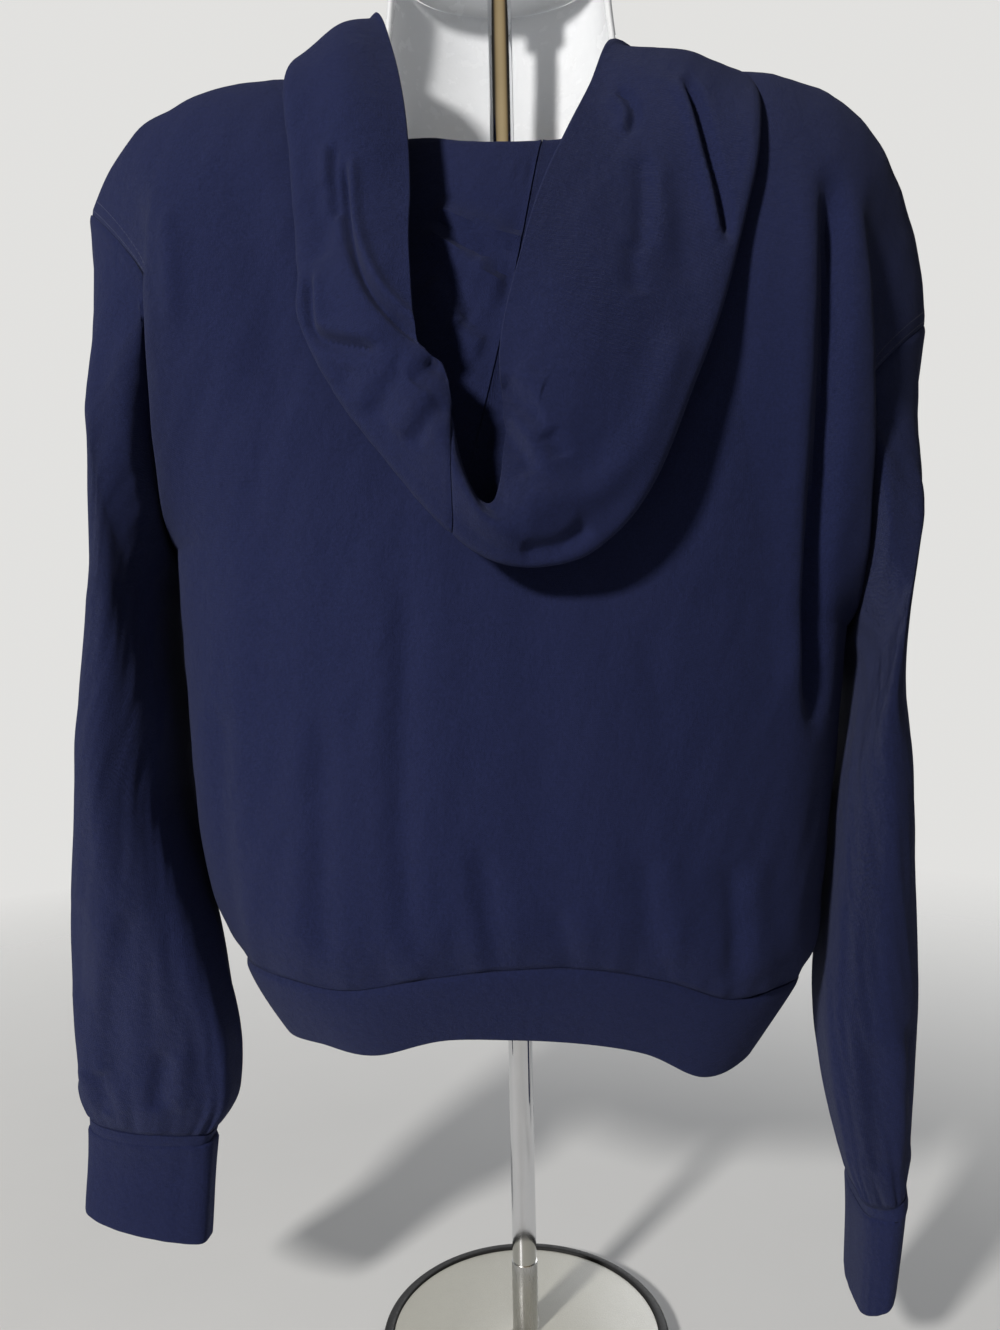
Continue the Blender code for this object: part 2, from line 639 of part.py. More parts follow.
def torso_heights():
    low = np.linspace(0, 1, LOWER_ROWS + 1)
    return np.concatenate([low, 1 + np.linspace(0, 1, UPPER_ROWS + 1)[1:]])


def back_turns():
    """Places across the back: a shoulder, the nape and the other shoulder."""
    shoulder = np.linspace(0, SHOULDER_SHARE, SHOULDER_SPACES + 1)
    nape = np.linspace(SHOULDER_SHARE, 1 - SHOULDER_SHARE, NAPE_SPACES + 1)
    return np.concatenate([shoulder, nape[1:], 1 - shoulder[-2::-1]]) / 2


def front_turns():
    """Places across the two fronts: the wearer's right from its side seam, the left from the zip."""
    shoulder = np.linspace(EDGE, SHOULDER_SHARE / 2, SHOULDER_SPACES + 1)
    throat = np.linspace(SHOULDER_SHARE / 2, 0.25 - ZIP_TURN, THROAT_SPACES + 1)
    right = 0.5 + np.concatenate([shoulder, throat[1:]])
    return right, 1.5 - right[::-1]


def neck_angles():
    """Angles round the neck of the body's points, from one side of the zip to the other."""
    spread = 1 - 2 * SHOULDER_SHARE
    right, _ = front_turns()
    front = (2 * (right[SHOULDER_SPACES:] - 0.5) - SHOULDER_SHARE) / spread * np.pi
    left = np.pi / 2 - front[::-1]
    nape = np.linspace(np.pi / 2, 1.5 * np.pi, NAPE_SPACES + 1)
    return np.concatenate([left, nape[1:], 2 * np.pi - left[-2::-1]])


def to_zip(points, zip_column, side_column):
    """Columns of a front eased across, so that its edge is straight beside the zip."""
    count = points.shape[1]
    columns = np.arange(count)
    near = np.clip(1 - np.abs(columns - zip_column % count) / (SHOULDER_SPACES + THROAT_SPACES), 0, 1) ** 3
    target = math.copysign(ZIP_EDGE, side_column)
    points[..., 0] += (target - points[:, zip_column, 0])[:, None] * near
    return points


def seam_directions(turn):
    """Directions shared by the body and the hem band at their seam."""
    body = torso_normals(turn, np.zeros_like(turn), True)
    down = band(turn, 2 * STEP) - band(turn, 0)
    along = band(np.mod(turn + STEP, 1), 0) - band(np.mod(turn - STEP, 1), 0)
    return unit(body + unit(np.cross(down, along)))


def make_body(cloth):
    """The back and the two fronts."""
    seams = {"left": armhole(SLEEVE_LEFT)[0], "right": armhole(SLEEVE_RIGHT)[0]}
    around = np.arange(UPPER_ROWS + 1)
    right_front, left_front = front_turns()
    panels = (
        ("back", back_turns(), (("left", 0, around), ("right", -1, around))),
        ("front_right", right_front, (("right", 0, -around),)),
        ("front_left", left_front, (("left", -1, -around),)),
    )
    for name, turns, armholes in panels:
        turn, height = np.meshgrid(turns, torso_heights())
        points = torso(turn, height)
        if name == "front_right":
            points = to_zip(points, -1, -1)
        if name == "front_left":
            points = to_zip(points, 0, 1)
        normals = torso_normals(turn, height, name == "back")
        normals[1:-1, 1:-1] = grid_normals(points)[1:-1, 1:-1]
        normals[0] = seam_directions(turns)
        for side, place, order in armholes:
            normals[LOWER_ROWS:, place] = seams[side][order]
        points = pulled(points, ("first_row", "last_row", "first_column", "last_column"))
        wall(name, points, normals, CLOTH, cloth)


def make_band(rib):
    """The hem band runs round from one side of the zip to the other."""
    right_front, left_front = front_turns()
    turns = np.concatenate([left_front[:-1], back_turns(), right_front[1:]])
    turn, share = np.meshgrid(turns, np.linspace(0, 1, BAND_ROWS + 1))
    points = to_zip(to_zip(band(turn, share), 0, 1), -1, -1)
    down = band(turn, np.clip(share + STEP, 0, 1)) - band(turn, np.clip(share - STEP, 0, 1))
    along = band(np.mod(turn + STEP, 1), share) - band(np.mod(turn - STEP, 1), share)
    normals = unit(np.cross(down, along))
    normals[0] = seam_directions(turns)
    wall("hem_band", pulled(points, ("first_row",)), normals, RIB, rib)


def make_sleeve(side, rows, body_tree, tube, cloth, rib):
    """One sleeve and its cuff, clear of the body's side."""
    spaces = 2 * UPPER_ROWS
    turns = np.arange(spaces) / spaces
    shares = np.concatenate([np.linspace(0, 1, SLEEVE_ROWS + 1), 1 + np.linspace(0, 1, CUFF_ROWS + 1)])
    turn, share = np.meshgrid(turns, shares)
    points = sleeve(rows, turn, share)
    _, arm, folded = armhole(rows)
    points[0] += folded * (CLOTH + 7 * SEAM_GAP)
    below = points[..., 2] < rows[0][6] - 0.008
    points[below] = moved_to(points[below], tube, SLEEVE_CLEAR)
    near = (share > 0) & (share < SEAM_SHARE) & (np.cos(2 * np.pi * turn) > SEAM_LOW)
    points[near] = moved_to(points[near], body_tree, CLOTH + 2 * SEAM_GAP)
    normals = grid_normals(points, wraps=True)
    if rows[0][1] < 0:
        normals = -normals
    normals[0] = arm
    cuff_row = SLEEVE_ROWS + 1
    normals[cuff_row - 1] = normals[cuff_row] = unit(normals[cuff_row - 2] + normals[cuff_row + 1])
    upper = pulled(points[:cuff_row], ("first_row", "last_row"))
    wall("sleeve_" + side, upper, normals[:cuff_row], CLOTH, cloth, wraps=True)
    lower = pulled(points[cuff_row:], ("first_row",))
    wall("cuff_" + side, lower, normals[cuff_row:], RIB, rib, wraps=True)


def hood(turns, shares, body_tree):
    """The hood's cloth from the neck seam (0) over the roll, down to the fold and up to its edge (1)."""
    shares = np.asarray(shares, float)
    values = table(HOOD_COLUMNS, HOOD, turns, HOOD_COLUMNS[1:])
    around = np.radians(values[0])
    stops = neck_angles()
    corners = neckline(stops)
    neck = np.stack([np.interp(around, stops, corners[:, axis]) for axis in range(3)], -1)
    along = neckline(around + STEP) - neckline(around - STEP)
    beside = np.array([body_tree.find_nearest(Vector(point))[1] for point in neck])
    neck = neck + unit(np.cross(beside, along)) * NECK_SEAM_STEP
    edge = np.stack(values[1:4], -1)
    fold = np.stack(values[4:7], -1)
    out = np.array([body_tree.find_nearest(Vector(point))[1] for point in fold])
    run = fold - neck
    run = unit(run - out * (run * out).sum(-1, keepdims=True))
    start = fold - (run + out) * HOOD_FOLD
    low, high = HOOD_LIFT
    lift = (low + (high - low) * eased((neck - fold)[:, 2:] / HOOD_LIFT_DROP)) * (0, 0, 1)
    lining = (
        (0.00, neck),
        (0.08, neck + lift + out * 0.002),
        (0.22, neck + (start - neck) * 0.33 + out * 0.002),
        (0.38, neck + (start - neck) * 0.70),
        (HOOD_TURN_START, start),
    )
    inner = guided(lining, shares[shares <= HOOD_TURN_START])
    inner[1:] = cleared(inner[1:], body_tree, HOOD_CLEAR_LOW)
    inner[2:] = cleared(inner[2:], body_tree, HOOD_CLEAR)
    around_fold = shares[(shares > HOOD_TURN_START) & (shares < HOOD_TURN_END)]
    angle = np.pi * (around_fold - HOOD_TURN_START) / (HOOD_TURN_END - HOOD_TURN_START) - np.pi / 2
    rise = (1 + np.sin(angle))[:, None, None]
    turned = inner[-1] + (run * np.cos(angle)[:, None, None] + out * rise) * HOOD_FOLD
    end = inner[-1] + out * 2 * HOOD_FOLD
    outside = (
        (HOOD_TURN_END, end),
        (0.60, end + (edge - end) * 0.07 + out * HOOD_PUFF * 0.1),
        (0.78, end + (edge - end) * 0.5 + out * HOOD_PUFF),
        (1.00, edge),
    )
    outer = guided(outside, shares[shares >= HOOD_TURN_END])
    outer = cleared(outer, tree_of(inner[::-1]), HOOD_LAYERS)
    return np.concatenate([inner, turned, outer])


def make_hood(cloth, body_tree):
    """Two panels, joined by a seam from the nape over the crown to the edge of the face opening.

    The right panel is two solids, so that the one round the narrow end of the opening stays simple.
    """
    stops = (0, HOOD_SEAM, HOOD_CROWN, 1)
    spans = [np.linspace(a, b, n + 1) for a, b, n in zip(stops, stops[1:], HOOD_SPACES)]
    turns = np.concatenate([spans[0], spans[1][1:], spans[2][1:]])
    points = hood(turns, HOOD_SHARES, body_tree)
    normals = grid_normals(points)
    first = 0
    for name, spaces, borders in zip(
        ("hood_left", "hood_right_crown", "hood_right"),
        HOOD_SPACES,
        (("last_column",), ("first_column", "last_column"), ("first_column",)),
    ):
        part = np.s_[:, first : first + spaces + 1]
        wall(name, pulled(points[part], borders, HOOD_PULL), normals[part], CLOTH, cloth)
        first += spaces


def make_form(plastic, body_tree):
    """The torso form: a shell open at the back, whose shoulders carry the cloth."""
    turn = np.linspace(0, np.pi, FORM_SPACES + 1)
    rings = []
    sizes = [column(FORM_COLUMNS, FORM, name) for name in FORM_COLUMNS[1:]]
    for rim_z, middle_z, width, rim_y, front, shoulder in zip(*sizes):
        x = width * power(np.cos(turn), 0.85)
        neck = np.sqrt(np.clip(1 - (x / min(width, FORM_NECK)) ** 2, 0, 1))
        y = rim_y + (shoulder - rim_y) * power(np.sin(turn), 0.8) + (front - shoulder) * neck
        z = rim_z + (middle_z - rim_z) * np.sin(turn) ** 2
        rings.append(np.stack([x, y, z], -1))
    points = np.array(rings)
    points[:FORM_COVERED] = cleared(points[:FORM_COVERED], body_tree, FORM_CLEAR, outside=False)
    wall("form_shell", points, grid_normals(points), FORM_WALL, plastic)


def zip_line(x, height):
    """The front's middle: X from the centre, height -1 at the band's bottom to 2 at the neck."""
    x, height = np.broadcast_arrays(np.asarray(x, float), np.asarray(height, float))
    centre = torso(np.full_like(height, 0.75), np.clip(height, 0, 2))
    low = band(np.full_like(height, 0.75), np.clip(-height, 0, 1))
    points = np.where((height < 0)[..., None], low, centre)
    return points + np.stack([x, np.zeros_like(x), np.zeros_like(x)], -1)


def make_strip(name, left, right, lowest, highest, thickness, surface):
    """A strip of the zip between two places across it, from one height to another."""
    rows = ZIP_BAND_ROWS if highest < 0 else ZIP_BAND_ROWS + ZIP_ROWS
    heights = np.linspace(lowest, min(highest, 0), ZIP_BAND_ROWS + 1)
    if rows > ZIP_BAND_ROWS:
        heights = np.concatenate([heights, np.linspace(0, highest, ZIP_ROWS + 1)[1:]])
    x, height = np.meshgrid([left, right], heights)
    points = zip_line(x, height)
    down = np.gradient(points, axis=0)
    wall(name, points, unit(np.cross(down, (1, 0, 0))), thickness, surface)


def block(name, low, high, rounding, surface, parent):
    """A box between two corners of its parent's frame, with rounded edges."""
    corners = [(x, y, z) for x in (low[0], high[0]) for y in (low[1], high[1]) for z in (low[2], high[2])]
    faces = [(0, 1, 3, 2), (4, 6, 7, 5), (0, 4, 5, 1), (2, 3, 7, 6), (0, 2, 6, 4), (1, 5, 7, 3)]
    made = mesh_object(name, corners, faces, surface)
    made.parent = parent
    bevel = made.modifiers.new("rounding", "BEVEL")
    bevel.width = rounding
    bevel.segments = 2
    return made


def combine(made, others, operation):
    """Joins other objects to one, or cuts them from it, and hides them."""
    for other in others:
        modifier = made.modifiers.new(operation.lower(), "BOOLEAN")
        modifier.operation = operation
        modifier.object = other
        other.hide_render = True
        other.display_type = "WIRE"


def revolved(name, profile, surface, ring_shaped=False):
    """A solid of revolution about Z from its outline of radii and heights, from the bottom up."""
    angles = 2 * np.pi * np.arange(ROUND_SPACES) / ROUND_SPACES
    points = [(r * math.cos(a), r * math.sin(a), z) for r, z in profile for a in angles]
    faces = quads(len(profile), ROUND_SPACES, wraps=True)
    last = (len(profile) - 1) * ROUND_SPACES
    for j in range(ROUND_SPACES if ring_shaped else 0):
        k = (j + 1) % ROUND_SPACES
        faces.append((last + j, last + k, k, j))
    if not ring_shaped:
        faces.append(tuple(reversed(range(ROUND_SPACES))))
        faces.append(tuple(range(last, last + ROUND_SPACES)))
    return mesh_object(name, points, faces, surface)


def empty(name, parent=None, location=(0, 0, 0), tilt=0.0):
    """A frame to parent pieces to, tilted about X."""
    made = bpy.data.objects.new(name, None)
    bpy.context.scene.collection.objects.link(made)
    made.parent = parent
    made.location = location
    made.rotation_euler = (tilt, 0, 0)
    return made


def zip_frame(name, height):
    """An empty on the zip, with Z up along it and -Y out of the cloth."""
    up = zip_line(0.0, height + STEP) - zip_line(0.0, height - STEP)
    return empty(name, location=zip_line(0.0, height), tilt=math.atan2(-up[1], up[2]))


def make_slider(metal):
    """Two plates joined between the rows of teeth, a bridge on the front one, and the pull tab."""
    frame = zip_frame("slider_frame", SLIDER_HEIGHT)
    front_low, front_high = (-PLATE_WIDE, -PLATE_OUT, -PLATE_LONG), (PLATE_WIDE, -PLATE_IN, PLATE_LONG)
    slider = block("zip_slider", front_low, front_high, EDGE_ROUND, metal, frame)
    back_low, back_high = (-PLATE_WIDE, PLATE_IN, -PLATE_LONG), (PLATE_WIDE, PLATE_OUT, PLATE_LONG)
    back = block("slider_back", back_low, back_high, EDGE_ROUND, metal, frame)
    pieces = [back]
    for name, half_wide, near, far, low, high in SLIDER_PIECES:
        pieces.append(block(name, (-half_wide, far, low), (half_wide, near, high), FINE_ROUND, metal, frame))
    combine(slider, pieces, "UNION")
    hinge = empty("tab_hinge", frame, (0, TAB_AXIS, 0))
    tab_low, tab_high = (-TAB_WIDE, -TAB_HALF, -TAB_LONG), (TAB_WIDE, TAB_HALF, -TAB_EYE)
    tab = block("zip_pull_tab", tab_low, tab_high, FINE_ROUND, metal, hinge)
    pieces = []
    for name, left, right, low, high in TAB_PIECES:
        pieces.append(block(name, (left, -TAB_HALF, low), (right, TAB_HALF, high), FINE_ROUND, metal, hinge))
    combine(tab, pieces, "UNION")


def make_zip(tape, chain, metal):
    """Tapes, closed chain, slider with its tab, and the box at the bottom."""
    inner = ZIP_CHAIN / 2 + SEAM_GAP
    outer = ZIP_EDGE - SEAM_GAP
    half = ZIP_CHAIN / 2
    make_strip("zip_tape_left", inner, outer, -1, TAPE_TOP, ZIP_TAPE, tape)
    make_strip("zip_tape_right", -outer, -inner, -1, TAPE_TOP, ZIP_TAPE, tape)
    make_strip("zip_chain", -half, half, CHAIN_BOTTOM, CHAIN_TOP, ZIP_CHAIN_DEEP, chain)
    make_strip("zip_box", -half, half, BOX_BOTTOM, BOX_TOP, BOX_DEEP, metal)
    make_slider(metal)


def make_cap(plastic):
    """The plate that closes the form's neck, with a hole for the pole."""
    turn = np.linspace(0, np.pi, FORM_SPACES + 1)
    outline = [(CAP_WIDTH * math.cos(t), CAP_FRONT * math.sin(t)) for t in turn]
    outline += [(-CAP_WIDTH, CAP_SIDE), (-COLLAR_RADIUS, CAP_BACK)]
    outline += [(COLLAR_RADIUS, CAP_BACK), (CAP_WIDTH, CAP_SIDE)]
    count = len(outline)
    points = [(x, y, z) for z in (CAP_BOTTOM, CAP_BOTTOM + CAP_HEIGHT) for x, y in outline]
    faces = [(i, (i + 1) % count, (i + 1) % count + count, i + count) for i in range(count)]
    faces += [tuple(reversed(range(count))), tuple(range(count, 2 * count))]
    cap = mesh_object("neck_cap", points, faces, plastic)
    hole = revolved("cap_hole", ((POLE_HOLE, COLLAR_BOTTOM), (POLE_HOLE, POLE_TOP)), plastic)
    combine(cap, (hole,), "DIFFERENCE")


def make_stand(painted, rubber, chrome):
    """Base, rim, pole, and the collar and knob that hold the form on the pole."""
    revolved("base_disc", ((BASE_RADIUS, 0), (BASE_RADIUS, BASE_HEIGHT)), painted)
    revolved("base_rim", RIM_OUTLINE, rubber, ring_shaped=True)
    revolved("pole", ((POLE_RADIUS, BASE_HEIGHT + SEAM_GAP), (POLE_RADIUS, POLE_TOP)), chrome)
    heights = (COLLAR_BOTTOM, CAP_BOTTOM - SEAM_GAP)
    outline = [(COLLAR_RADIUS, z) for z in heights] + [(POLE_HOLE, z) for z in reversed(heights)]
    revolved("neck_collar", outline, chrome, ring_shaped=True)
    knob = [(radius, POLE_TOP + SEAM_GAP + rise) for radius, rise in KNOB_OUTLINE]
    revolved("pole_knob", knob, chrome)


def main():
    for old in list(bpy.data.objects):
        bpy.data.objects.remove(old)
    cloth = material("hoodie_cloth", (0.013, 0.016, 0.052), 0.9)
    rib = material("self_fabric_band", (0.013, 0.016, 0.052), 0.9)
    tape = material("zip_tape", (0.012, 0.014, 0.045), 0.8)
    chain = material("zip_teeth", (0.015, 0.018, 0.05), 0.45)
    metal = material("zip_metal", (0.55, 0.55, 0.56), 0.35, 1.0)
    plastic = material("white_plastic", (0.80, 0.80, 0.80), 0.4)
    painted = material("painted_base", (0.49, 0.48, 0.41), 0.5)
    rubber = material("rubber_rim", (0.015, 0.015, 0.016), 0.7)
    chrome = material("chrome", (0.75, 0.75, 0.76), 0.15, 1.0)
    right_front, left_front = front_turns()
    round_body = np.concatenate([back_turns(), right_front, left_front])
    turn, height = np.meshgrid(round_body, torso_heights())
    body_tree = tree_of(torso(turn, height))
    low_turn, low_height = np.meshgrid(np.linspace(0, 1, 121), np.linspace(0, 1, 31))
    turn, share = np.meshgrid(np.linspace(0, 1, 121), np.linspace(1, 0, 9)[:-1])
    tube = tree_of(np.concatenate([band(turn, share), torso(np.mod(low_turn, 1), low_height)]))
    make_body(cloth)
    make_band(rib)
    make_sleeve("left", SLEEVE_LEFT, body_tree, tube, cloth, rib)
    make_sleeve("right", SLEEVE_RIGHT, body_tree, tube, cloth, rib)
    make_hood(cloth, body_tree)
    make_form(plastic, body_tree)
    make_zip(tape, chain, metal)
    make_cap(plastic)
    make_stand(painted, rubber, chrome)


if __name__ == "__main__":
    main()
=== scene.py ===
"""The looks of a zip-up hoodie on its hollow-backed dress form and pole stand.

Metres, +Z up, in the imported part's frame. The garment's front faces -Y, its back +Y and the
wearer's left +X. The pole stands on X = Y = 0 and the base rests on Z = 0.
"""

import math

import bpy
import numpy as np
from mathutils import Matrix, Vector
from mathutils.bvhtree import BVHTree

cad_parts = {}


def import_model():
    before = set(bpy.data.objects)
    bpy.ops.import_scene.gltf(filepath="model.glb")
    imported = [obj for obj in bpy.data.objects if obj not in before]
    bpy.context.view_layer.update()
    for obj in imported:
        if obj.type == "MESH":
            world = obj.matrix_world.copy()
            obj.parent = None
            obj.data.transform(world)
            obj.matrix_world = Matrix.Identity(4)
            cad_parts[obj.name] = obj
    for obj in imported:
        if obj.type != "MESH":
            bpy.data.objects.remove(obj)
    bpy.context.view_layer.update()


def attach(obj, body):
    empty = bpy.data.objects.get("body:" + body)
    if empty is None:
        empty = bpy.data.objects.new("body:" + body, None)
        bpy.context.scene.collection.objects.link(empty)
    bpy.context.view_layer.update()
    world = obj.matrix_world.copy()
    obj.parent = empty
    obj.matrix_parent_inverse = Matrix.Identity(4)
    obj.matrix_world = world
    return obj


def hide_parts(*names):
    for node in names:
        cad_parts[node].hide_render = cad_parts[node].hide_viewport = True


ROOT = "stand_and_garment"
PIECE = "_piece"

# Cloth
CLOTH = 0.0018
RIB = 0.0030
EDGE = 1e-6
STEP = 0.002
# The thinnest that a folded edge ends, as a share of the cloth
EDGE_LEAST = 0.12

# Camera
CAMERA_PLACE = (0.008, 0.615, 0.43)
CAMERA_LENS = 26.256
CAMERA_ROLL = -0.0202

# Stand
BASE_RADIUS = 0.0836
BASE_HEIGHT = 0.009
POLE_RADIUS = 0.0076
SOCKET_RADIUS = 0.0081
SOCKET_TOP = 0.053
SOCKET_DEEP = 0.004
POLE_TOP = 0.880
# Where solids of revolution start, close to the pole's middle line
HIDDEN_RADIUS = 0.002
COLLAR_BOTTOM = 0.858
CAP_BOTTOM = 0.8725
CAP_TOP = 0.8765
CAP_BEVEL = 0.001
CAP_ROUND = 0.985
FORM_WALL = 0.003

# Zip
ZIP_TURN = 0.006
ZIP_EDGE = 0.0078
TAPE_TOP = 1.97
TAPE_BOTTOM = -0.995
CHAIN_TOP = 1.775
CHAIN_BOTTOM = -0.84
TOOTH_PITCH = 0.0025

# Grids: places where cells meet and the spaces between them
SHOULDER_TURN = 0.14
BACK_TURNS = ((0, SHOULDER_TURN, 0.5 - SHOULDER_TURN, 0.5), (46, 84, 46))
FRONT_TURNS = ((0.5 + EDGE, 0.5 + SHOULDER_TURN, 0.75 - ZIP_TURN), (44, 42))
TORSO_HEIGHTS = ((0, 0.06, 1, 2), (12, 70, 80))
BAND_SHARES = ((0, 0.08, 0.90, 0.97, 1), (4, 14, 4, 5))
SLEEVE_SHARES = ((0, 0.05, 0.90, 1), (12, 120, 34))
CUFF_SHARES = ((1, 1.10, 1.90, 1.97, 2), (6, 20, 4, 5))
SLEEVE_SPACES = 160
HOOD_SHARES = ((0, 0.06, 0.18, 0.49, 0.57, 0.94, 0.99, 1), (8, 12, 28, 14, 84, 9, 5))
HOOD_TURN_START = 0.49
HOOD_TURN_END = 0.57
HOOD_TURNS = ((0, 0.24, 0.36, 0.51, 0.66, 0.74, 1), (24, 24, 160, 140, 30, 36))
HOOD_SEAM_COLUMN = 208
# Places round the tube that keeps the sleeves off the body, its rows and the hem band's
TUBE_PLACES = 121
TUBE_ROWS = 61
TUBE_BAND_ROWS = 9
SLEEVE_CLEAR = 0.0030
FORM_CLEAR = 0.0030

SEAM_GAP = 0.0003
SEAM_PULL = 0.00022
HOOD_PULL = 0.0004
RIDGE_LEAN = 0.5
INSIDE_REACH = 0.006
SLEEVE_SHIFT = CLOTH + 7 * SEAM_GAP
SHIFT_FADE = 0.055
UNDERARM_DROP = 0.008
SEAM_SHARE = 0.30
SEAM_EASE = 0.04
SEAM_LOW = -0.2
POLE_HOLE = 0.0079
COLLAR_RADIUS = 0.013
CAP_WIDTH = 0.0665
CAP_FRONT = -0.051
CAP_SIDE = 0.002
CAP_BACK = 0.014
ROUND_SPACES = 160
CORNER_SPACES = 5
FORM_SPACES = 96
FORM_ROWS = (74, 40)
FORM_LIP = 0.0016
FORM_LIP_IN = 0.0022
FORM_LIP_WIDE = 0.0022
ZIP_TAPE = 0.001
CORD = 0.0006
CORD_WIDTH = 0.0008
TAPE_INNER = 0.0008
TAPE_OUTER = 0.0075
TAPE_SPACES = 14
TOOTH_SHIFT = 0.0009
TOOTH_SIZES = (0.0019, 0.00052, 0.0011)
BEAD_SIDES = 6
STITCH_PITCH = 0.0034
STITCH_LONG = 0.0028
STITCH_THICK = 0.00055
# Widths of a stitch and of a tooth at even places along them, as shares of the widest
STITCH_ENDS = (0.35, 0.8, 1.0, 0.8, 0.35)
TOOTH_ENDS = (0.75, 1.0, 1.0, 0.9, 0.7)

# Relief of the cloth: heights of folds, swells and seams, and the lengths over which they fade
CLOTH_MAP = "cloth"
SHARP_ANGLE = math.radians(50)
BEAD_SHARP_ANGLE = math.radians(70)
SEAM_DIP = 0.0009
SEAM_WIDTH = 0.0022
SEAM_FADE = 0.030
HOOD_DIP = 0.0006
HOOD_ROUNDS = 60
FOLD_FADE = 0.16
CREST_PLACE = 1.7
CREST_WIDTH = 1.6
CLOTH_SWELL = 0.0013
HOOD_SWELL = 0.0008
NECK_FADE = 0.02
BAND_SWELL = 0.0005
BAND_FADE = 0.01
SWELL_SIZE = (0.028, 0.170)
SWELL_CELLS = 64
SWELL_RISE = 1.6
CRUMPLE = 0.42
CRUMPLE_SIZE = (0.012, 0.045)
CRUMPLE_LEAN = 0.4
GATHER = 0.0022
GATHER_REACH = 0.022
GATHER_SIZE = (0.011, 0.200)
GATHER_START = 0.004
BAND_SWELL_SIZE = (0.05, 1.3)
CUFF_SWELL_SIZE = (0.02, 0.05)
# How much of the relief is left at the hem seam and at a cuff's seam
HEM_RELIEF = 0.35
CUFF_RELIEF = 0.3
# Metres round a sleeve, for the sizes of its swells
SLEEVE_AROUND = 0.4
# Each seed starts its own random draws; the body's panels use 0, 1 and 2
BODY_GATHER_SEED = 7
BAND_SEED = 21
SLEEVE_SEED = 31
SLEEVE_GATHER_SEED = 33
CUFF_SEED = 35
HOOD_SEED = 41
CRUMPLE_SEED = 50

HOOD_GRAIN = dict(hood_left=8.0, hood_right=-24.0)

# Folds, each a width, a route, a height and sometimes the height of a crest beside it. Routes are of
# X and Z, or of Y and Z on a sleeve's outside
BACK_FOLDS = (
    (0.009, ((0.165, 0.415), (0.167, 0.361), (0.167, 0.308), (0.165, 0.266)), -0.0030, 0.0016),
    (0.008, ((0.103, 0.413), (0.105, 0.344), (0.106, 0.264)), -0.0026, 0.0014),
    (0.007, ((0.057, 0.487), (0.060, 0.412), (0.061, 0.327), (0.055, 0.260)), -0.0026, 0.0014),
    (0.006, ((0.021, 0.337), (0.016, 0.295), (0.011, 0.262)), -0.0030, 0.0018),
    (0.006, ((-0.020, 0.302), (-0.024, 0.262)), -0.0022, -0.0014),
    (0.007, ((-0.066, 0.330), (-0.070, 0.262)), -0.0020, -0.0012),
    (0.007, ((-0.115, 0.323), (-0.117, 0.250)), -0.0030, -0.0018),
    (0.014, ((0.147, 0.717), (0.130, 0.626), (0.125, 0.562)), -0.0028),
    (0.011, ((0.088, 0.695), (0.086, 0.641), (0.095, 0.599)), -0.0016),
    (0.006, ((0.187, 0.690), (0.185, 0.655), (0.184, 0.620)), 0.0030),
    (0.010, ((-0.070, 0.455), (-0.078, 0.400), (-0.080, 0.350)), -0.0014),
    (
        0.008,
        ((-0.184, 0.715), (-0.181, 0.657), (-0.176, 0.567), (-0.172, 0.480), (-0.170, 0.380)),
        -0.0150, 0.0035,
    ),
)
FRONT_FOLDS = (
    (0.014, ((0.150, 0.690), (0.138, 0.600), (0.132, 0.520)), -0.0030, 0.0012),
    (0.010, ((0.080, 0.420), (0.084, 0.340), (0.086, 0.265)), -0.0026, 0.0014),
    (0.012, ((0.140, 0.430), (0.148, 0.350), (0.150, 0.270)), -0.0030, -0.0016),
    (0.008, ((0.045, 0.330), (0.042, 0.262)), -0.0022, 0.0012),
    (0.014, ((-0.156, 0.680), (-0.142, 0.600), (-0.134, 0.500)), -0.0030, -0.0012),
    (0.010, ((-0.070, 0.440), (-0.076, 0.350), (-0.074, 0.262)), -0.0026, 0.0014),
    (0.012, ((-0.128, 0.410), (-0.136, 0.330), (-0.138, 0.265)), -0.0028, -0.0014),
    (0.008, ((-0.036, 0.310), (-0.038, 0.258)), -0.0022, -0.0012),
)
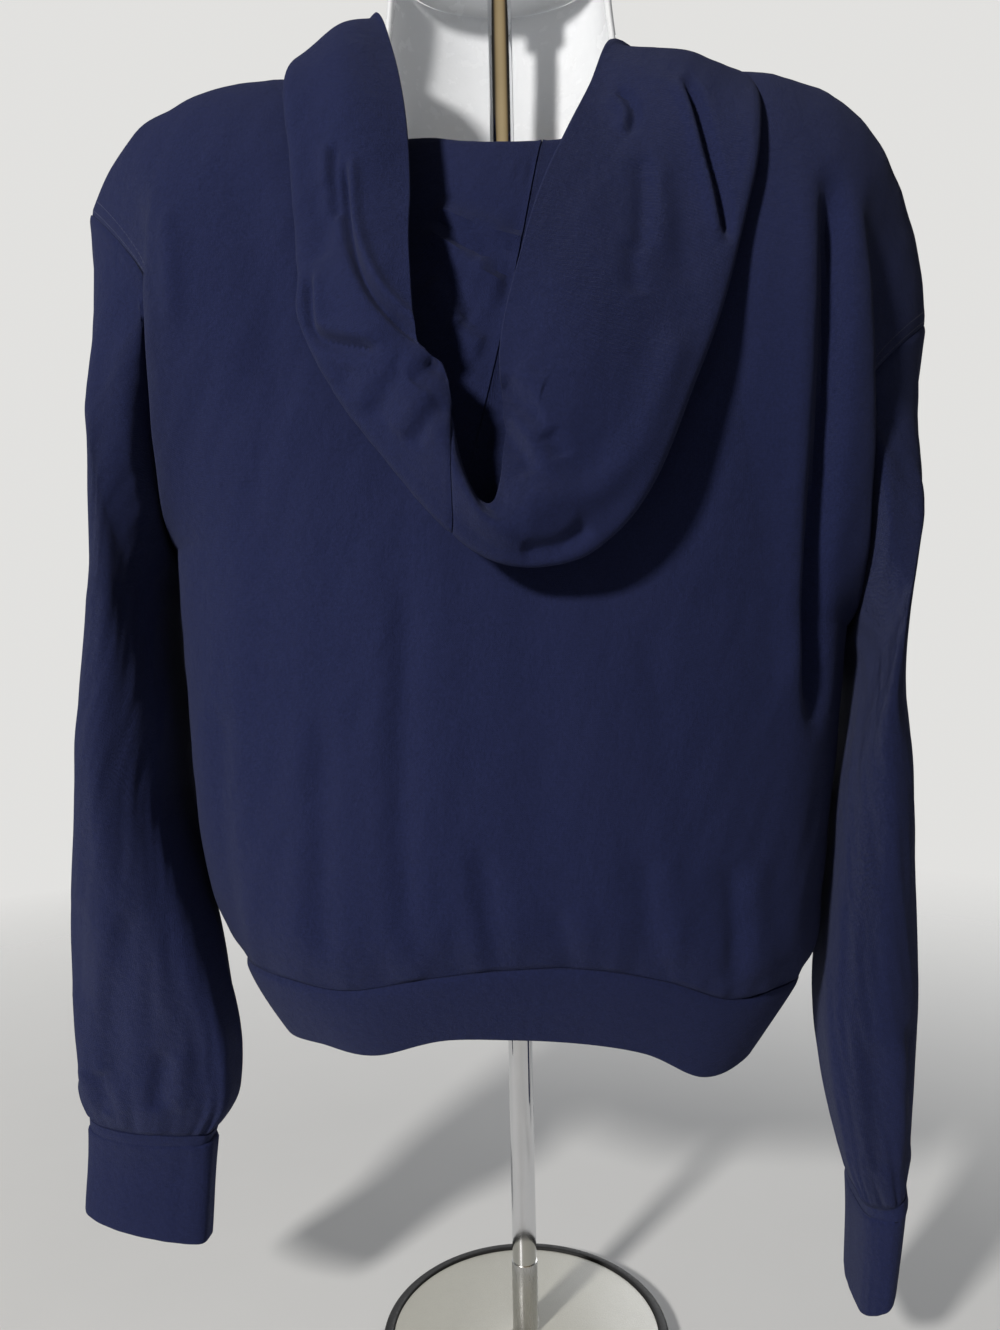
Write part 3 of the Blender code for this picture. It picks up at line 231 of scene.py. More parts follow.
SIDE_FOLDS = dict(
    left=dict(
        behind=(
            (0.009, ((0.232, 0.640), (0.236, 0.560), (0.240, 0.470)), -0.0026),
            (0.008, ((0.222, 0.300), (0.232, 0.240), (0.236, 0.185)), -0.0026, 0.0014),
            (0.005, ((0.246, 0.200), (0.243, 0.172)), -0.0028, 0.0018),
            (0.006, ((0.205, 0.215), (0.210, 0.176)), -0.0026, -0.0018),
            (0.008, ((0.255, 0.300), (0.259, 0.235)), -0.0018),
        ),
        outside=(
            (0.014, ((0.020, 0.560), (0.030, 0.450), (0.038, 0.360)), -0.0030, 0.0012),
            (0.012, ((-0.020, 0.400), (-0.010, 0.300), (0.010, 0.220)), -0.0026),
            (0.007, ((0.030, 0.240), (0.034, 0.182)), -0.0024, 0.0014),
        ),
        ahead=(
            (0.012, ((0.236, 0.620), (0.240, 0.500), (0.244, 0.400)), -0.0026),
            (0.006, ((0.228, 0.225), (0.224, 0.176)), -0.0026, 0.0016),
        ),
    ),
    right=dict(
        behind=(
            (0.010, ((-0.228, 0.560), (-0.226, 0.470), (-0.224, 0.380)), -0.0026),
            (0.007, ((-0.200, 0.215), (-0.203, 0.175), (-0.206, 0.132)), -0.0030, -0.0016),
            (0.006, ((-0.222, 0.225), (-0.223, 0.180), (-0.222, 0.135)), -0.0034, 0.0018),
        ),
        outside=(
            (0.014, ((0.020, 0.500), (0.030, 0.400), (0.036, 0.300)), -0.0030, 0.0012),
            (0.012, ((-0.020, 0.360), (-0.010, 0.260), (0.000, 0.180)), -0.0026),
            (0.007, ((0.030, 0.210), (0.026, 0.135)), -0.0026, -0.0014),
        ),
        ahead=(
            (0.012, ((-0.234, 0.540), (-0.232, 0.430), (-0.230, 0.330)), -0.0026),
            (0.007, ((-0.214, 0.210), (-0.212, 0.135)), -0.0028, 0.0014),
        ),
    ),
)
HOOD_OUTER_FOLDS = (
    (
        0.0028,
        ((0.084, 0.706), (0.085, 0.690), (0.081, 0.652), (0.069, 0.620), (0.048, 0.597), (0.040, 0.588)),
        -0.0062, -0.0034,
    ),
    (
        0.0034,
        ((0.104, 0.640), (0.103, 0.612), (0.099, 0.602), (0.085, 0.595), (0.062, 0.588)),
        -0.0048, -0.0026,
    ),
    (0.0030, ((0.0905, 0.712), (0.0905, 0.690), (0.0890, 0.664)), -0.0030, 0.0014),
    (0.0055, ((0.060, 0.584), (0.057, 0.577), (0.071, 0.555)), -0.0028, 0.0016),
    (0.0050, ((0.033, 0.562), (0.051, 0.540)), -0.0030, 0.0018),
    (0.0045, ((0.036, 0.583), (0.050, 0.571)), -0.0022, 0.0014),
    (0.0060, ((0.082, 0.583), (0.088, 0.572)), -0.0016),
    (0.0040, ((0.042, 0.583), (0.029, 0.574)), -0.0022),
    (0.0060, ((0.005, 0.573), (-0.010, 0.555), (-0.017, 0.554)), -0.0032, -0.0014),
    (0.0055, ((0.007, 0.553), (-0.004, 0.535), (-0.009, 0.522)), -0.0034, -0.0014),
    (0.0060, ((-0.018, 0.545), (-0.024, 0.531)), -0.0022),
    (0.0050, ((-0.002, 0.487), (-0.023, 0.489), (-0.040, 0.500)), -0.0030, -0.0014),
    (0.0090, ((0.009, 0.510), (-0.033, 0.513), (-0.061, 0.535), (-0.073, 0.560), (-0.091, 0.608)), 0.0040),
    (0.0030, ((-0.064, 0.756), (-0.071, 0.744), (-0.073, 0.732), (-0.068, 0.718)), -0.0032, 0.0020),
    (
        0.0032,
        ((-0.102, 0.762), (-0.107, 0.738), (-0.111, 0.710), (-0.115, 0.685), (-0.119, 0.650)),
        -0.0075, 0.0030,
    ),
    (0.0060, ((-0.075, 0.705), (-0.073, 0.676), (-0.069, 0.640)), -0.0028, -0.0012),
    (0.0060, ((-0.066, 0.649), (-0.064, 0.616)), -0.0020),
    (0.0080, ((-0.092, 0.700), (-0.094, 0.660), (-0.090, 0.622)), -0.0014),
    (0.0060, ((0.098, 0.690), (0.095, 0.664), (0.098, 0.640)), -0.0018, 0.0010),
)
HOOD_INNER_FOLDS = (
    (
        0.0042,
        ((0.036, 0.694), (0.023, 0.685), (0.003, 0.677), (-0.013, 0.666), (-0.019, 0.668)),
        -0.0026, 0.0046,
    ),
    (
        0.0040,
        ((0.040, 0.680), (0.024, 0.662), (0.014, 0.654), (0.001, 0.642), (-0.004, 0.630)),
        -0.0032, 0.0056,
    ),
    (0.0036, ((0.018, 0.657), (0.003, 0.656), (-0.012, 0.651)), -0.0022, 0.0036),
    (0.0036, ((0.027, 0.621), (0.020, 0.614), (0.009, 0.606)), -0.0022, 0.0042),
    (0.0050, ((0.034, 0.646), (0.026, 0.630), (0.018, 0.618)), -0.0022, 0.0034),
    (0.0024, ((-0.014, 0.712), (-0.015, 0.700)), -0.0014, 0.0008),
    (0.0024, ((-0.008, 0.712), (-0.008, 0.702)), -0.0012, 0.0008),
)

RIM_OUTLINE = (
    (0.0838, 0.0004), (0.0842, 0), (0.0890, 0), (0.0898, 0.0005), (0.0900, 0.0015), (0.0900, 0.0080),
    (0.0896, 0.0095), (0.0887, 0.0103), (0.0875, 0.0105), (0.0852, 0.0105), (0.0842, 0.0102),
    (0.0838, 0.0095),
)
KNOB_OUTLINE = tuple(
    (radius, POLE_TOP + SEAM_GAP + rise)
    for radius, rise in (
        (0.0004, 0), (0.0068, 0), (0.0078, 0.0003), (0.0092, 0.0014), (0.0106, 0.0036), (0.0113, 0.0060),
        (0.0115, 0.0085), (0.0112, 0.0108), (0.0104, 0.0130), (0.0090, 0.0148), (0.0070, 0.0160),
        (0.0045, 0.0165), (0.0004, 0.0165),
    )
)

NAVY = (0.0153, 0.0205, 0.0680)
FADED_NAVY = (0.0200, 0.0240, 0.0700)
# Radians of the tape's weave to each metre
TAPE_WEAVE = 9000.0

SEAM_STITCH = 0.0035
ARMHOLE_STITCHES = (0.0025, 0.0085)
ZIP_STITCH = 0.0045
STITCH_SINK = 0.0001
BACKGROUND = (0.76, 0.755, 0.74)
FILL_COLOUR = (0.93, 0.96, 1.0)
FILL_STRENGTH = 0.10
# The room that mirror surfaces see, from the front (0) round to the back (1), each a colour
ROOM = (
    (0.10, (0.80, 0.80, 0.80)),
    (0.30, (0.22, 0.24, 0.22)),
    (0.48, (0.02, 0.02, 0.02)),
    (0.66, (0.03, 0.025, 0.02)),
    (0.80, (0.34, 0.25, 0.13)),
    (0.93, (0.50, 0.39, 0.22)),
    (1.00, (0.20, 0.15, 0.09)),
)
FLOOR_SPACES = 96
FLOOR_NEAR = 0.35
FLOOR_FAR = 1.6
FLOOR_DROP = -0.0004
LIT_POINT = (0.0, 0.0, 0.50)
# Each lamp: name, place, size, power and colour
LIGHTS = (
    ("key", (1.22, 1.66, 1.30), 0.26, 45.0, (1.0, 0.98, 0.95)),
    ("front", (-0.8, -1.9, 1.4), 1.2, 26.0, (0.97, 0.98, 1.0)),
)

# The torso's middle line in depth, where the side seams run
SIDE_Y = -0.010
TORSO_SQUARE = 2.5

# Rings of the torso tube from the hem seam (0) to the underarm (1)
TORSO_COLUMNS = ("share", "left", "right", "back", "front")
TORSO = (
    (0.00, 0.1690, -0.1740, 0.0960, -0.1150),
    (0.07, 0.1780, -0.1820, 0.1030, -0.1220),
    (0.25, 0.1910, -0.1880, 0.1060, -0.1260),
    (0.50, 0.1990, -0.1950, 0.1030, -0.1250),
    (0.75, 0.2040, -0.2020, 0.0985, -0.1210),
    (1.00, 0.2070, -0.2080, 0.0950, -0.1160),
)
# The hem band's bottom ring is pulled in below its seam
BAND_BOTTOM = dict(left=0.146, right=-0.153, back=0.080, front=-0.098)
BAND_EASE = 1.3

# Heights of the band's seam and of its bottom edge, round the hem from the left side
HEM_COLUMNS = ("turn", "seam", "bottom")
HEM = (
    (0.00, 0.250, 0.212),
    (0.06, 0.256, 0.212),
    (0.12, 0.256, 0.214),
    (0.17, 0.254, 0.213),
    (0.22, 0.263, 0.224),
    (0.26, 0.267, 0.222),
    (0.31, 0.257, 0.212),
    (0.35, 0.243, 0.195),
    (0.40, 0.242, 0.198),
    (0.45, 0.240, 0.213),
    (0.50, 0.238, 0.206),
    (0.58, 0.246, 0.203),
    (0.66, 0.240, 0.192),
    (0.75, 0.246, 0.198),
    (0.84, 0.241, 0.194),
    (0.92, 0.252, 0.208),
    (1.00, 0.250, 0.212),
)

UNDERARM_LEFT = (0.2070, SIDE_Y, 0.505)
UNDERARM_RIGHT = (-0.2080, SIDE_Y, 0.450)
ARMHOLE_DEPTH = 0.070
ARMHOLE_LEAN = 1.2
# An armhole's edge is upright up to this share of its height and leans outwards above it
ARMHOLE_UPRIGHT_LEFT = 0.70
ARMHOLE_UPRIGHT_RIGHT = 0.73
# Below that the seam lies in the valley between the body and the sleeve
ARMHOLE_RECESS = 0.026
ARMHOLE_BODY = (0.10, 0.50)
ARMHOLE_BODY_VALLEY = 0.16
ARMHOLE_SLEEVE_FADE = 0.20
ARMHOLE_VALLEY = 0.10
# The seam folds back as the cosine between body and sleeve falls from the first by the second
FOLD_FROM = 0.99
FOLD_OVER = 0.4

# Shoulder lines from the armhole (0) to the neck (1)
SHOULDER_COLUMNS = ("share", "x", "z")
SHOULDER_LEFT = (
    (0.00, 0.261, 0.720),
    (0.20, 0.245, 0.748),
    (0.40, 0.218, 0.773),
    (0.60, 0.182, 0.788),
    (0.80, 0.137, 0.795),
    (1.00, 0.090, 0.793),
)
SHOULDER_RIGHT = (
    (0.00, -0.266, 0.640),
    (0.20, -0.258, 0.697),
    (0.40, -0.238, 0.745),
    (0.60, -0.204, 0.779),
    (0.80, -0.152, 0.795),
    (1.00, -0.090, 0.793),
)
SHOULDER_SHARE = 0.28
NECK_BACK = (0.060, 0.716)
NECK_FRONT = (-0.100, 0.704)
NECK_ROUND = 0.9
UPPER_BULGE = 0.010
SHOULDER_SQUARE = 2.5
# Shares of the way in from the armhole where the body stops swelling and its section rounds off
UPPER_INSIDE = 0.6
SQUARE_FROM = 0.4
SQUARE_OVER = 0.5
# The body's depth behind and in front of its side seams, at the underarm
UNDERARM_DEPTHS = (0.105, 0.106)

# Sleeve sections from the armhole (0) to the cuff's seam (1) and its end (2)
SLEEVE_FLAT = 0.65
SLEEVE_COLUMNS = (
    "share", "outer_x", "outer_y", "outer_z", "inner_x", "inner_y", "inner_z", "depth",
)
SLEEVE_LEFT = (
    (0.00, 0.2610, -0.010, 0.720, 0.2070, -0.010, 0.505, 0.070),
    (0.12, 0.2560, -0.008, 0.655, 0.2125, -0.008, 0.480, 0.072),
    (0.26, 0.2520, -0.004, 0.570, 0.2120, -0.004, 0.445, 0.073),
    (0.40, 0.2535, 0.002, 0.480, 0.2070, 0.002, 0.400, 0.070),
    (0.54, 0.2590, 0.006, 0.400, 0.2060, 0.010, 0.352, 0.062),
    (0.68, 0.2650, 0.012, 0.325, 0.1940, 0.022, 0.305, 0.048),
    (0.80, 0.2690, 0.014, 0.262, 0.1790, 0.036, 0.255, 0.036),
    (0.90, 0.2690, 0.022, 0.208, 0.1690, 0.038, 0.206, 0.028),
    (0.96, 0.2660, 0.026, 0.178, 0.1720, 0.036, 0.174, 0.024),
    (1.00, 0.2600, 0.028, 0.164, 0.1830, 0.034, 0.158, 0.019),
    (1.10, 0.2600, 0.028, 0.156, 0.1840, 0.034, 0.150, 0.017),
    (2.00, 0.2640, 0.026, 0.106, 0.1890, 0.034, 0.092, 0.015),
)
SLEEVE_RIGHT = (
    (0.00, -0.2660, -0.010, 0.640, -0.2080, -0.010, 0.450, 0.070),
    (0.12, -0.2560, -0.006, 0.577, -0.2110, -0.008, 0.425, 0.072),
    (0.26, -0.2465, 0.002, 0.505, -0.2060, -0.002, 0.393, 0.073),
    (0.40, -0.2390, 0.008, 0.430, -0.1990, 0.002, 0.353, 0.071),
    (0.54, -0.2385, 0.012, 0.360, -0.1930, 0.007, 0.308, 0.066),
    (0.68, -0.2385, 0.016, 0.290, -0.1880, 0.011, 0.262, 0.058),
    (0.80, -0.2380, 0.022, 0.230, -0.1840, 0.016, 0.212, 0.050),
    (0.90, -0.2350, 0.025, 0.175, -0.1890, 0.019, 0.160, 0.044),
    (0.96, -0.2320, 0.025, 0.140, -0.1960, 0.020, 0.128, 0.041),
    (1.00, -0.2280, 0.024, 0.120, -0.2010, 0.022, 0.110, 0.038),
    (1.10, -0.2270, 0.024, 0.112, -0.2010, 0.022, 0.102, 0.037),
    (2.00, -0.2200, 0.024, 0.060, -0.1990, 0.022, 0.044, 0.033),
)

# The hood lies down the back as a bag. Each section starts at the neck seam, at an angle round
# the neck from the centre front, rolls over, runs down to the fold and comes back to the edge
# of the face opening.
HOOD_COLUMNS = ("turn", "neck", "edge_x", "edge_y", "edge_z", "fold_x", "fold_y", "fold_z")
HOOD = (
    (0.000, 6, 0.006, -0.120, 0.754, 0.012, -0.144, 0.712),
    (0.080, 32, 0.040, -0.110, 0.772, 0.060, -0.134, 0.726),
    (0.160, 60, 0.068, -0.070, 0.800, 0.102, -0.096, 0.757),
    (0.240, 88, 0.097, -0.022, 0.814, 0.122, -0.040, 0.796),
    (0.310, 112, 0.075, 0.030, 0.825, 0.127, 0.008, 0.793),
    (0.360, 126, 0.063, 0.060, 0.786, 0.127, 0.046, 0.748),
    (0.405, 138, 0.053, 0.088, 0.728, 0.118, 0.078, 0.696),
    (0.440, 152, 0.050, 0.106, 0.680, 0.112, 0.098, 0.640),
    (0.465, 163, 0.050, 0.120, 0.640, 0.1085, 0.108, 0.604),
    (0.485, 176, 0.045, 0.129, 0.592, 0.080, 0.115, 0.554),
    (0.500, 189, 0.032, 0.131, 0.578, 0.048, 0.121, 0.514),
    (0.515, 198, 0.029, 0.132, 0.545, 0.024, 0.122, 0.489),
    (0.530, 202, 0.020, 0.132, 0.515, 0.008, 0.122, 0.481),
    (0.545, 205, 0.008, 0.131, 0.512, -0.010, 0.122, 0.478),
    (0.560, 208, 0.004, 0.130, 0.545, -0.032, 0.122, 0.481),
    (0.580, 211, 0.005, 0.128, 0.590, -0.052, 0.122, 0.494),
    (0.605, 214, -0.008, 0.122, 0.645, -0.072, 0.120, 0.520),
    (0.635, 218, -0.020, 0.108, 0.685, -0.094, 0.114, 0.568),
    (0.665, 225, -0.034, 0.084, 0.722, -0.112, 0.104, 0.610),
    (0.700, 236, -0.050, 0.058, 0.762, -0.130, 0.088, 0.665),
    (0.740, 250, -0.066, 0.030, 0.806, -0.145, 0.060, 0.725),
    (0.790, 272, -0.095, -0.014, 0.814, -0.152, 0.000, 0.789),
    (0.860, 302, -0.062, -0.068, 0.800, -0.112, -0.092, 0.757),
    (0.930, 330, -0.038, -0.110, 0.772, -0.060, -0.134, 0.726),
    (1.000, 354, -0.006, -0.120, 0.754, -0.012, -0.144, 0.712),
)
HOOD_LIFT = (0.006, 0.018)
HOOD_LIFT_DROP = 0.10
HOOD_LAYERS = 0.0042
HOOD_REACH = 0.015
HOOD_CLEAR = 0.0040
HOOD_CLEAR_LOW = 0.0030
HOOD_FOLD = 0.0052
HOOD_PUFF = 0.008
NECK_SEAM_STEP = 0.0038

# Rings of the torso form, open at the back: the height of the rim at each side and of the middle
FORM_COLUMNS = ("ring", "rim_z", "middle_z", "width", "rim_y", "front", "shoulder")
FORM = (
    (0, 0.300, 0.300, 0.128, 0.010, -0.088, -0.088),
    (1, 0.380, 0.380, 0.122, 0.012, -0.082, -0.082),
    (2, 0.470, 0.470, 0.134, 0.012, -0.092, -0.092),
    (3, 0.560, 0.560, 0.154, 0.012, -0.104, -0.104),
    (4, 0.640, 0.640, 0.172, 0.010, -0.096, -0.092),
    (5, 0.700, 0.690, 0.187, 0.008, -0.078, -0.064),
    (6, 0.742, 0.715, 0.190, 0.006, -0.058, -0.036),
    (7, 0.768, 0.732, 0.186, 0.003, -0.048, -0.024),
    (8, 0.7816, 0.745, 0.172, -0.001, -0.046, -0.018),
    (9, 0.7897, 0.757, 0.150, -0.004, -0.046, -0.016),
    (10, 0.7907, 0.768, 0.135, -0.005, -0.046, -0.015),
    (11, 0.782, 0.775, 0.114, -0.005, -0.046, -0.014),
    (12, 0.7742, 0.782, 0.083, -0.005, -0.046, -0.010),
    (13, 0.798, 0.798, 0.076, -0.003, -0.047, -0.003),
    (14, 0.820, 0.820, 0.073, -0.002, -0.049, -0.003),
    (15, 0.846, 0.846, 0.070, -0.002, -0.050, -0.003),
    (16, 0.872, 0.872, 0.068, -0.002, -0.050, -0.003),
)
FORM_NECK = 0.072
FORM_COVERED = 12


def column(names, rows, name):
    return np.array([row[names.index(name)] for row in rows], float)


def smooth(at, knots, values):
    """Values at places between knots, along a curve whose slope follows both neighbours."""
    at = np.asarray(at, float)
    knots = np.asarray(knots, float)
    values = np.asarray(values, float)
    steps = np.diff(knots)
    slopes = np.diff(values, axis=0) / steps.reshape((-1,) + (1,) * (values.ndim - 1))
    tangents = np.empty_like(values)
    tangents[0], tangents[-1] = slopes[0], slopes[-1]
    for i in range(1, len(knots) - 1):
        before, after = steps[i - 1], steps[i]
        tangents[i] = (slopes[i - 1] * after + slopes[i] * before) / (before + after)
    cell = np.clip(np.searchsorted(knots, at, "right") - 1, 0, len(steps) - 1)
    shape = at.shape + (1,) * (values.ndim - 1)
    h = steps[cell].reshape(shape)
    t = ((at - knots[cell]) / steps[cell]).reshape(shape)
    return (
        values[cell] * (2 * t**3 - 3 * t**2 + 1)
        + tangents[cell] * h * (t**3 - 2 * t**2 + t)
        + values[cell + 1] * (3 * t**2 - 2 * t**3)
        + tangents[cell + 1] * h * (t**3 - t**2)
    )


def table(names, rows, at, wanted):
    """The wanted columns of a table, at places along its first column."""
    knots = column(names, rows, names[0])
    return [smooth(at, knots, column(names, rows, name)) for name in wanted]


def guided(guides, at):
    """Curves through guides, each a place along them and a row of points."""
    return smooth(at, [place for place, _ in guides], np.stack([points for _, points in guides]))


def power(value, exponent):
    return np.sign(value) * np.abs(value) ** exponent


def eased(share):
    share = np.clip(share, 0, 1)
    return share**2 * (3 - 2 * share)


def unit(vectors):
    return vectors / np.maximum(np.linalg.norm(vectors, axis=-1, keepdims=True), 1e-12)


def ring(turn, left, right, back, front):
    """X and Y on a rounded ring: turn 0 is the left side, 0.25 the back and 0.75 the front."""
    across = power(np.cos(2 * np.pi * turn), 2 / TORSO_SQUARE)
    deep = power(np.sin(2 * np.pi * turn), 2 / TORSO_SQUARE)
    x = np.where(across > 0, across * left, -across * right)
    y = SIDE_Y + np.where(deep > 0, deep * (back - SIDE_Y), -deep * (front - SIDE_Y))
    return x, y


def underarm_height(x):
    share = (x - UNDERARM_RIGHT[0]) / (UNDERARM_LEFT[0] - UNDERARM_RIGHT[0])
    return UNDERARM_RIGHT[2] + share * (UNDERARM_LEFT[2] - UNDERARM_RIGHT[2])


def neckline(angle):
    """The neck seam, by an angle from the centre front round by the wearer's left."""
    side_x = SHOULDER_LEFT[-1][1]
    side_z = SHOULDER_LEFT[-1][2]
    forward = np.cos(angle)
    reach = np.where(forward > 0, NECK_FRONT[0], NECK_BACK[0]) - SIDE_Y
    drop = np.where(forward > 0, NECK_FRONT[1], NECK_BACK[1]) - side_z
    x = side_x * np.sin(angle)
    y = SIDE_Y + reach * np.abs(forward)
    z = side_z + drop * np.abs(forward) ** NECK_ROUND
    return np.stack([x, y, z], -1)


def top_line(turn):
    """The shoulder seams and the neckline, above each place round the torso."""
    behind = turn <= 0.5
    share = np.where(behind, turn, 1 - turn) / 0.5
    out_left = np.clip(share / SHOULDER_SHARE, 0, 1)
    out_right = np.clip((1 - share) / SHOULDER_SHARE, 0, 1)
    left = table(SHOULDER_COLUMNS, SHOULDER_LEFT, out_left, ("x", "z"))
    right = table(SHOULDER_COLUMNS, SHOULDER_RIGHT, out_right, ("x", "z"))
    half = np.clip((share - SHOULDER_SHARE) / (1 - 2 * SHOULDER_SHARE), 0, 1) * np.pi
    angle = np.where(behind, np.pi / 2 + half, np.pi / 2 - half)
    neck = neckline(angle)
    level = np.full_like(share, SIDE_Y)
    points = np.where((share < SHOULDER_SHARE)[..., None], np.stack([left[0], level, left[1]], -1), neck)
    on_right = (share > 1 - SHOULDER_SHARE)[..., None]
    return np.where(on_right, np.stack([right[0], level, right[1]], -1), points), share


def armhole_lean(lift, upright):
    """How much further in an armhole's edge lies than a straight one, as a share of its width."""
    above = np.clip((lift - upright) / (1 - upright), 0, 1)
    return above**ARMHOLE_LEAN - lift


def armhole_recess(lift, upright):
    """How deep an armhole's edge lies in the valley beside the sleeve."""
    return ARMHOLE_RECESS * np.sin(np.pi * np.clip(lift / upright, 0, 1)) ** 2


def lower_torso(turn, share):
    """The body below the underarms, from the hem seam (0) to the underarm (1)."""
    sizes = table(TORSO_COLUMNS, TORSO, share, TORSO_COLUMNS[1:])
    x, y = ring(turn, *sizes)
    seam, = table(HEM_COLUMNS, HEM, turn, ("seam",))
    z = seam + (underarm_height(x) - seam) * share
    return np.stack([x, y, z], -1)


def upper_torso(turn, share):
    """The body above the underarms, from the underarm (0) to the shoulder and neckline (1)."""
    start = lower_torso(turn, np.ones_like(share))
    top, across = top_line(turn)
    inward = 1 - np.abs(2 * across - 1)
    inside = eased(inward / UPPER_INSIDE)
    rise = np.sin(share * np.pi / 2)
    swing = (1 - np.cos(share * np.pi)) / 2
    lift = swing + (rise - swing) * inside
    square = SHOULDER_SQUARE - (SHOULDER_SQUARE - 1) * eased((inward - SQUARE_FROM) / SQUARE_OVER)
    depth = (1 - lift**square) ** (1 / square)
    side = np.abs(start[..., 1] - SIDE_Y) / np.where(start[..., 1] > SIDE_Y, *UNDERARM_DEPTHS)
    sign = np.where(turn <= 0.5, 1.0, -1.0)
    belly = ARMHOLE_DEPTH * (1 - np.clip(side, 0, 1)) + UPPER_BULGE * inside
    upright = np.where(across < 0.5, ARMHOLE_UPRIGHT_LEFT, ARMHOLE_UPRIGHT_RIGHT)
    lean = armhole_lean(lift, upright)
    near_edge = 1 - eased((inward - ARMHOLE_BODY[0]) / (ARMHOLE_BODY[1] - ARMHOLE_BODY[0]))
    recess = armhole_recess(swing, upright) * (1 - eased(inward / ARMHOLE_BODY_VALLEY))
    x = start[..., 0] + (top[..., 0] - start[..., 0]) * (lift + lean * near_edge)
    y = top[..., 1] + (start[..., 1] - top[..., 1]) * depth + sign * (belly * np.sin(share * np.pi) - recess)
    z = start[..., 2] + (top[..., 2] - start[..., 2]) * lift
    return np.stack([x, y, z], -1)


def torso(turn, height):
    """The whole body: heights 0 to 1 lie below the underarm and 1 to 2 above it."""
    turn, height = np.broadcast_arrays(np.asarray(turn, float), np.asarray(height, float))
    low = lower_torso(turn, np.clip(height, 0, 1))
    high = upper_torso(turn, np.clip(height - 1, 0, 1))
    return np.where((height <= 1)[..., None], low, high)


def band(turn, share):
    """The hem band, from its seam (0) down to its bottom edge (1)."""
    turn, share = np.broadcast_arrays(np.asarray(turn, float), np.asarray(share, float))
    sizes = table(TORSO_COLUMNS, TORSO, np.zeros_like(share), TORSO_COLUMNS[1:])
    low = [BAND_BOTTOM[name] for name in TORSO_COLUMNS[1:]]
    easing = share**BAND_EASE
    x, y = ring(turn, *[a + (b - a) * easing for a, b in zip(sizes, low)])
    seam, bottom = table(HEM_COLUMNS, HEM, turn, ("seam", "bottom"))
    return np.stack([x, y, seam + (bottom - seam) * share], -1)


def sleeve(rows, turn, share):
    """A sleeve and its cuff: turn 0 is the underarm seam, 0.25 the back and 0.5 the outside."""
    turn, share = np.broadcast_arrays(np.asarray(turn, float), np.asarray(share, float))
    values = table(SLEEVE_COLUMNS, rows, share, SLEEVE_COLUMNS[1:])
    outer = np.stack(values[0:3], -1)
    inner = np.stack(values[3:6], -1)
    middle = (outer + inner) / 2
    half = (outer - inner) / 2
    flat = unit(half * (1, 1, 0))
    sideways = np.stack([-flat[..., 1], flat[..., 0], np.zeros_like(share)], -1)
    sideways = sideways * np.sign(rows[0][1])
    angle = 2 * np.pi * turn
    upright = ARMHOLE_UPRIGHT_LEFT if rows[0][1] > 0 else ARMHOLE_UPRIGHT_RIGHT
    lift = (1 - np.cos(angle)) / 2
    valley = armhole_recess(lift, upright) * (1 - eased(share / ARMHOLE_VALLEY))
    inner_back = np.clip(np.cos(angle), 0, 1) * (np.sin(angle) > 0) * eased(share / ARMHOLE_SLEEVE_FADE)
    round_to = np.abs(np.sin(angle)) ** (1 - SLEEVE_FLAT * inner_back)
    depth = np.sign(np.sin(angle)) * (values[6] * round_to - valley)
    shift = (rows[0][1] - rows[0][4]) * armhole_lean(lift, upright)
    shift = shift * (1 - eased(share / ARMHOLE_SLEEVE_FADE))
    points = middle - half * np.cos(angle)[..., None] + sideways * depth[..., None]
    return points + shift[..., None] * (1, 0, 0)


def spread(stops, counts):
    """Evenly spaced places between each two stops."""
    runs = [np.linspace(a, b, n + 1)[1:] for a, b, n in zip(stops, stops[1:], counts)]
    return np.concatenate([[stops[0]], *runs])


def tree_of(points):
    """A search tree of a grid of points."""
    rows, columns = points.shape[:2]
    i, j = np.meshgrid(np.arange(rows - 1), np.arange(columns - 1), indexing="ij")
    first = (i * columns + j).ravel()
    faces = np.stack([first, first + 1, first + columns + 1, first + columns], -1)
    return BVHTree.FromPolygons(points.reshape(-1, 3).tolist(), faces.tolist())


def relaxed(points, rounds):
    """A grid smoothed towards its neighbours' middle, apart from its first and last rows."""
    for _ in range(rounds):
        middle = points.copy()
        middle[1:-1] = (points[:-2] + points[2:]) / 2
        middle[:, 1:-1] = (middle[:, 1:-1] + (points[:, :-2] + points[:, 2:]) / 2) / 2
        points[1:-1] = (points[1:-1] + middle[1:-1]) / 2
    return points


def metres_of(points, wraps=False, turned=0.0):
    """Lengths over the cloth, across from the middle column and down from the first row."""
    if wraps:
        points = np.concatenate([points, points[:, :1]], 1)
    across = np.zeros(points.shape[:2])
    down = np.zeros(points.shape[:2])
    across[:, 1:] = np.cumsum(np.linalg.norm(np.diff(points, axis=1), axis=-1), 1)
    down[1:] = np.cumsum(np.linalg.norm(np.diff(points, axis=0), axis=-1), 0)
    across -= across[:, [points.shape[1] // 2]]
    lean = math.radians(turned)
    tilted = across * math.cos(lean) - down * math.sin(lean)
    return np.stack([tilted, across * math.sin(lean) + down * math.cos(lean)], -1)


def border_gaps(points, wraps=False):
    """How far each point of a grid is from its first and last rows and columns."""
    metres = metres_of(points)
    across, down = metres[..., 0], metres[..., 1]
    rows = (down, down[-1] - down)
    if wraps:
        return dict(first_row=rows[0], last_row=rows[1])
    start, end = across[:, :1], across[:, -1:]
    return dict(first_row=rows[0], last_row=rows[1], first_column=across - start, last_column=end - across)


def seam_dips(gaps, borders, depth=SEAM_DIP, width=SEAM_WIDTH):
    """The groove that stitching pulls in along the named borders."""
    return sum(-depth * np.exp(-((gaps[border] / width) ** 2)) for border in borders)


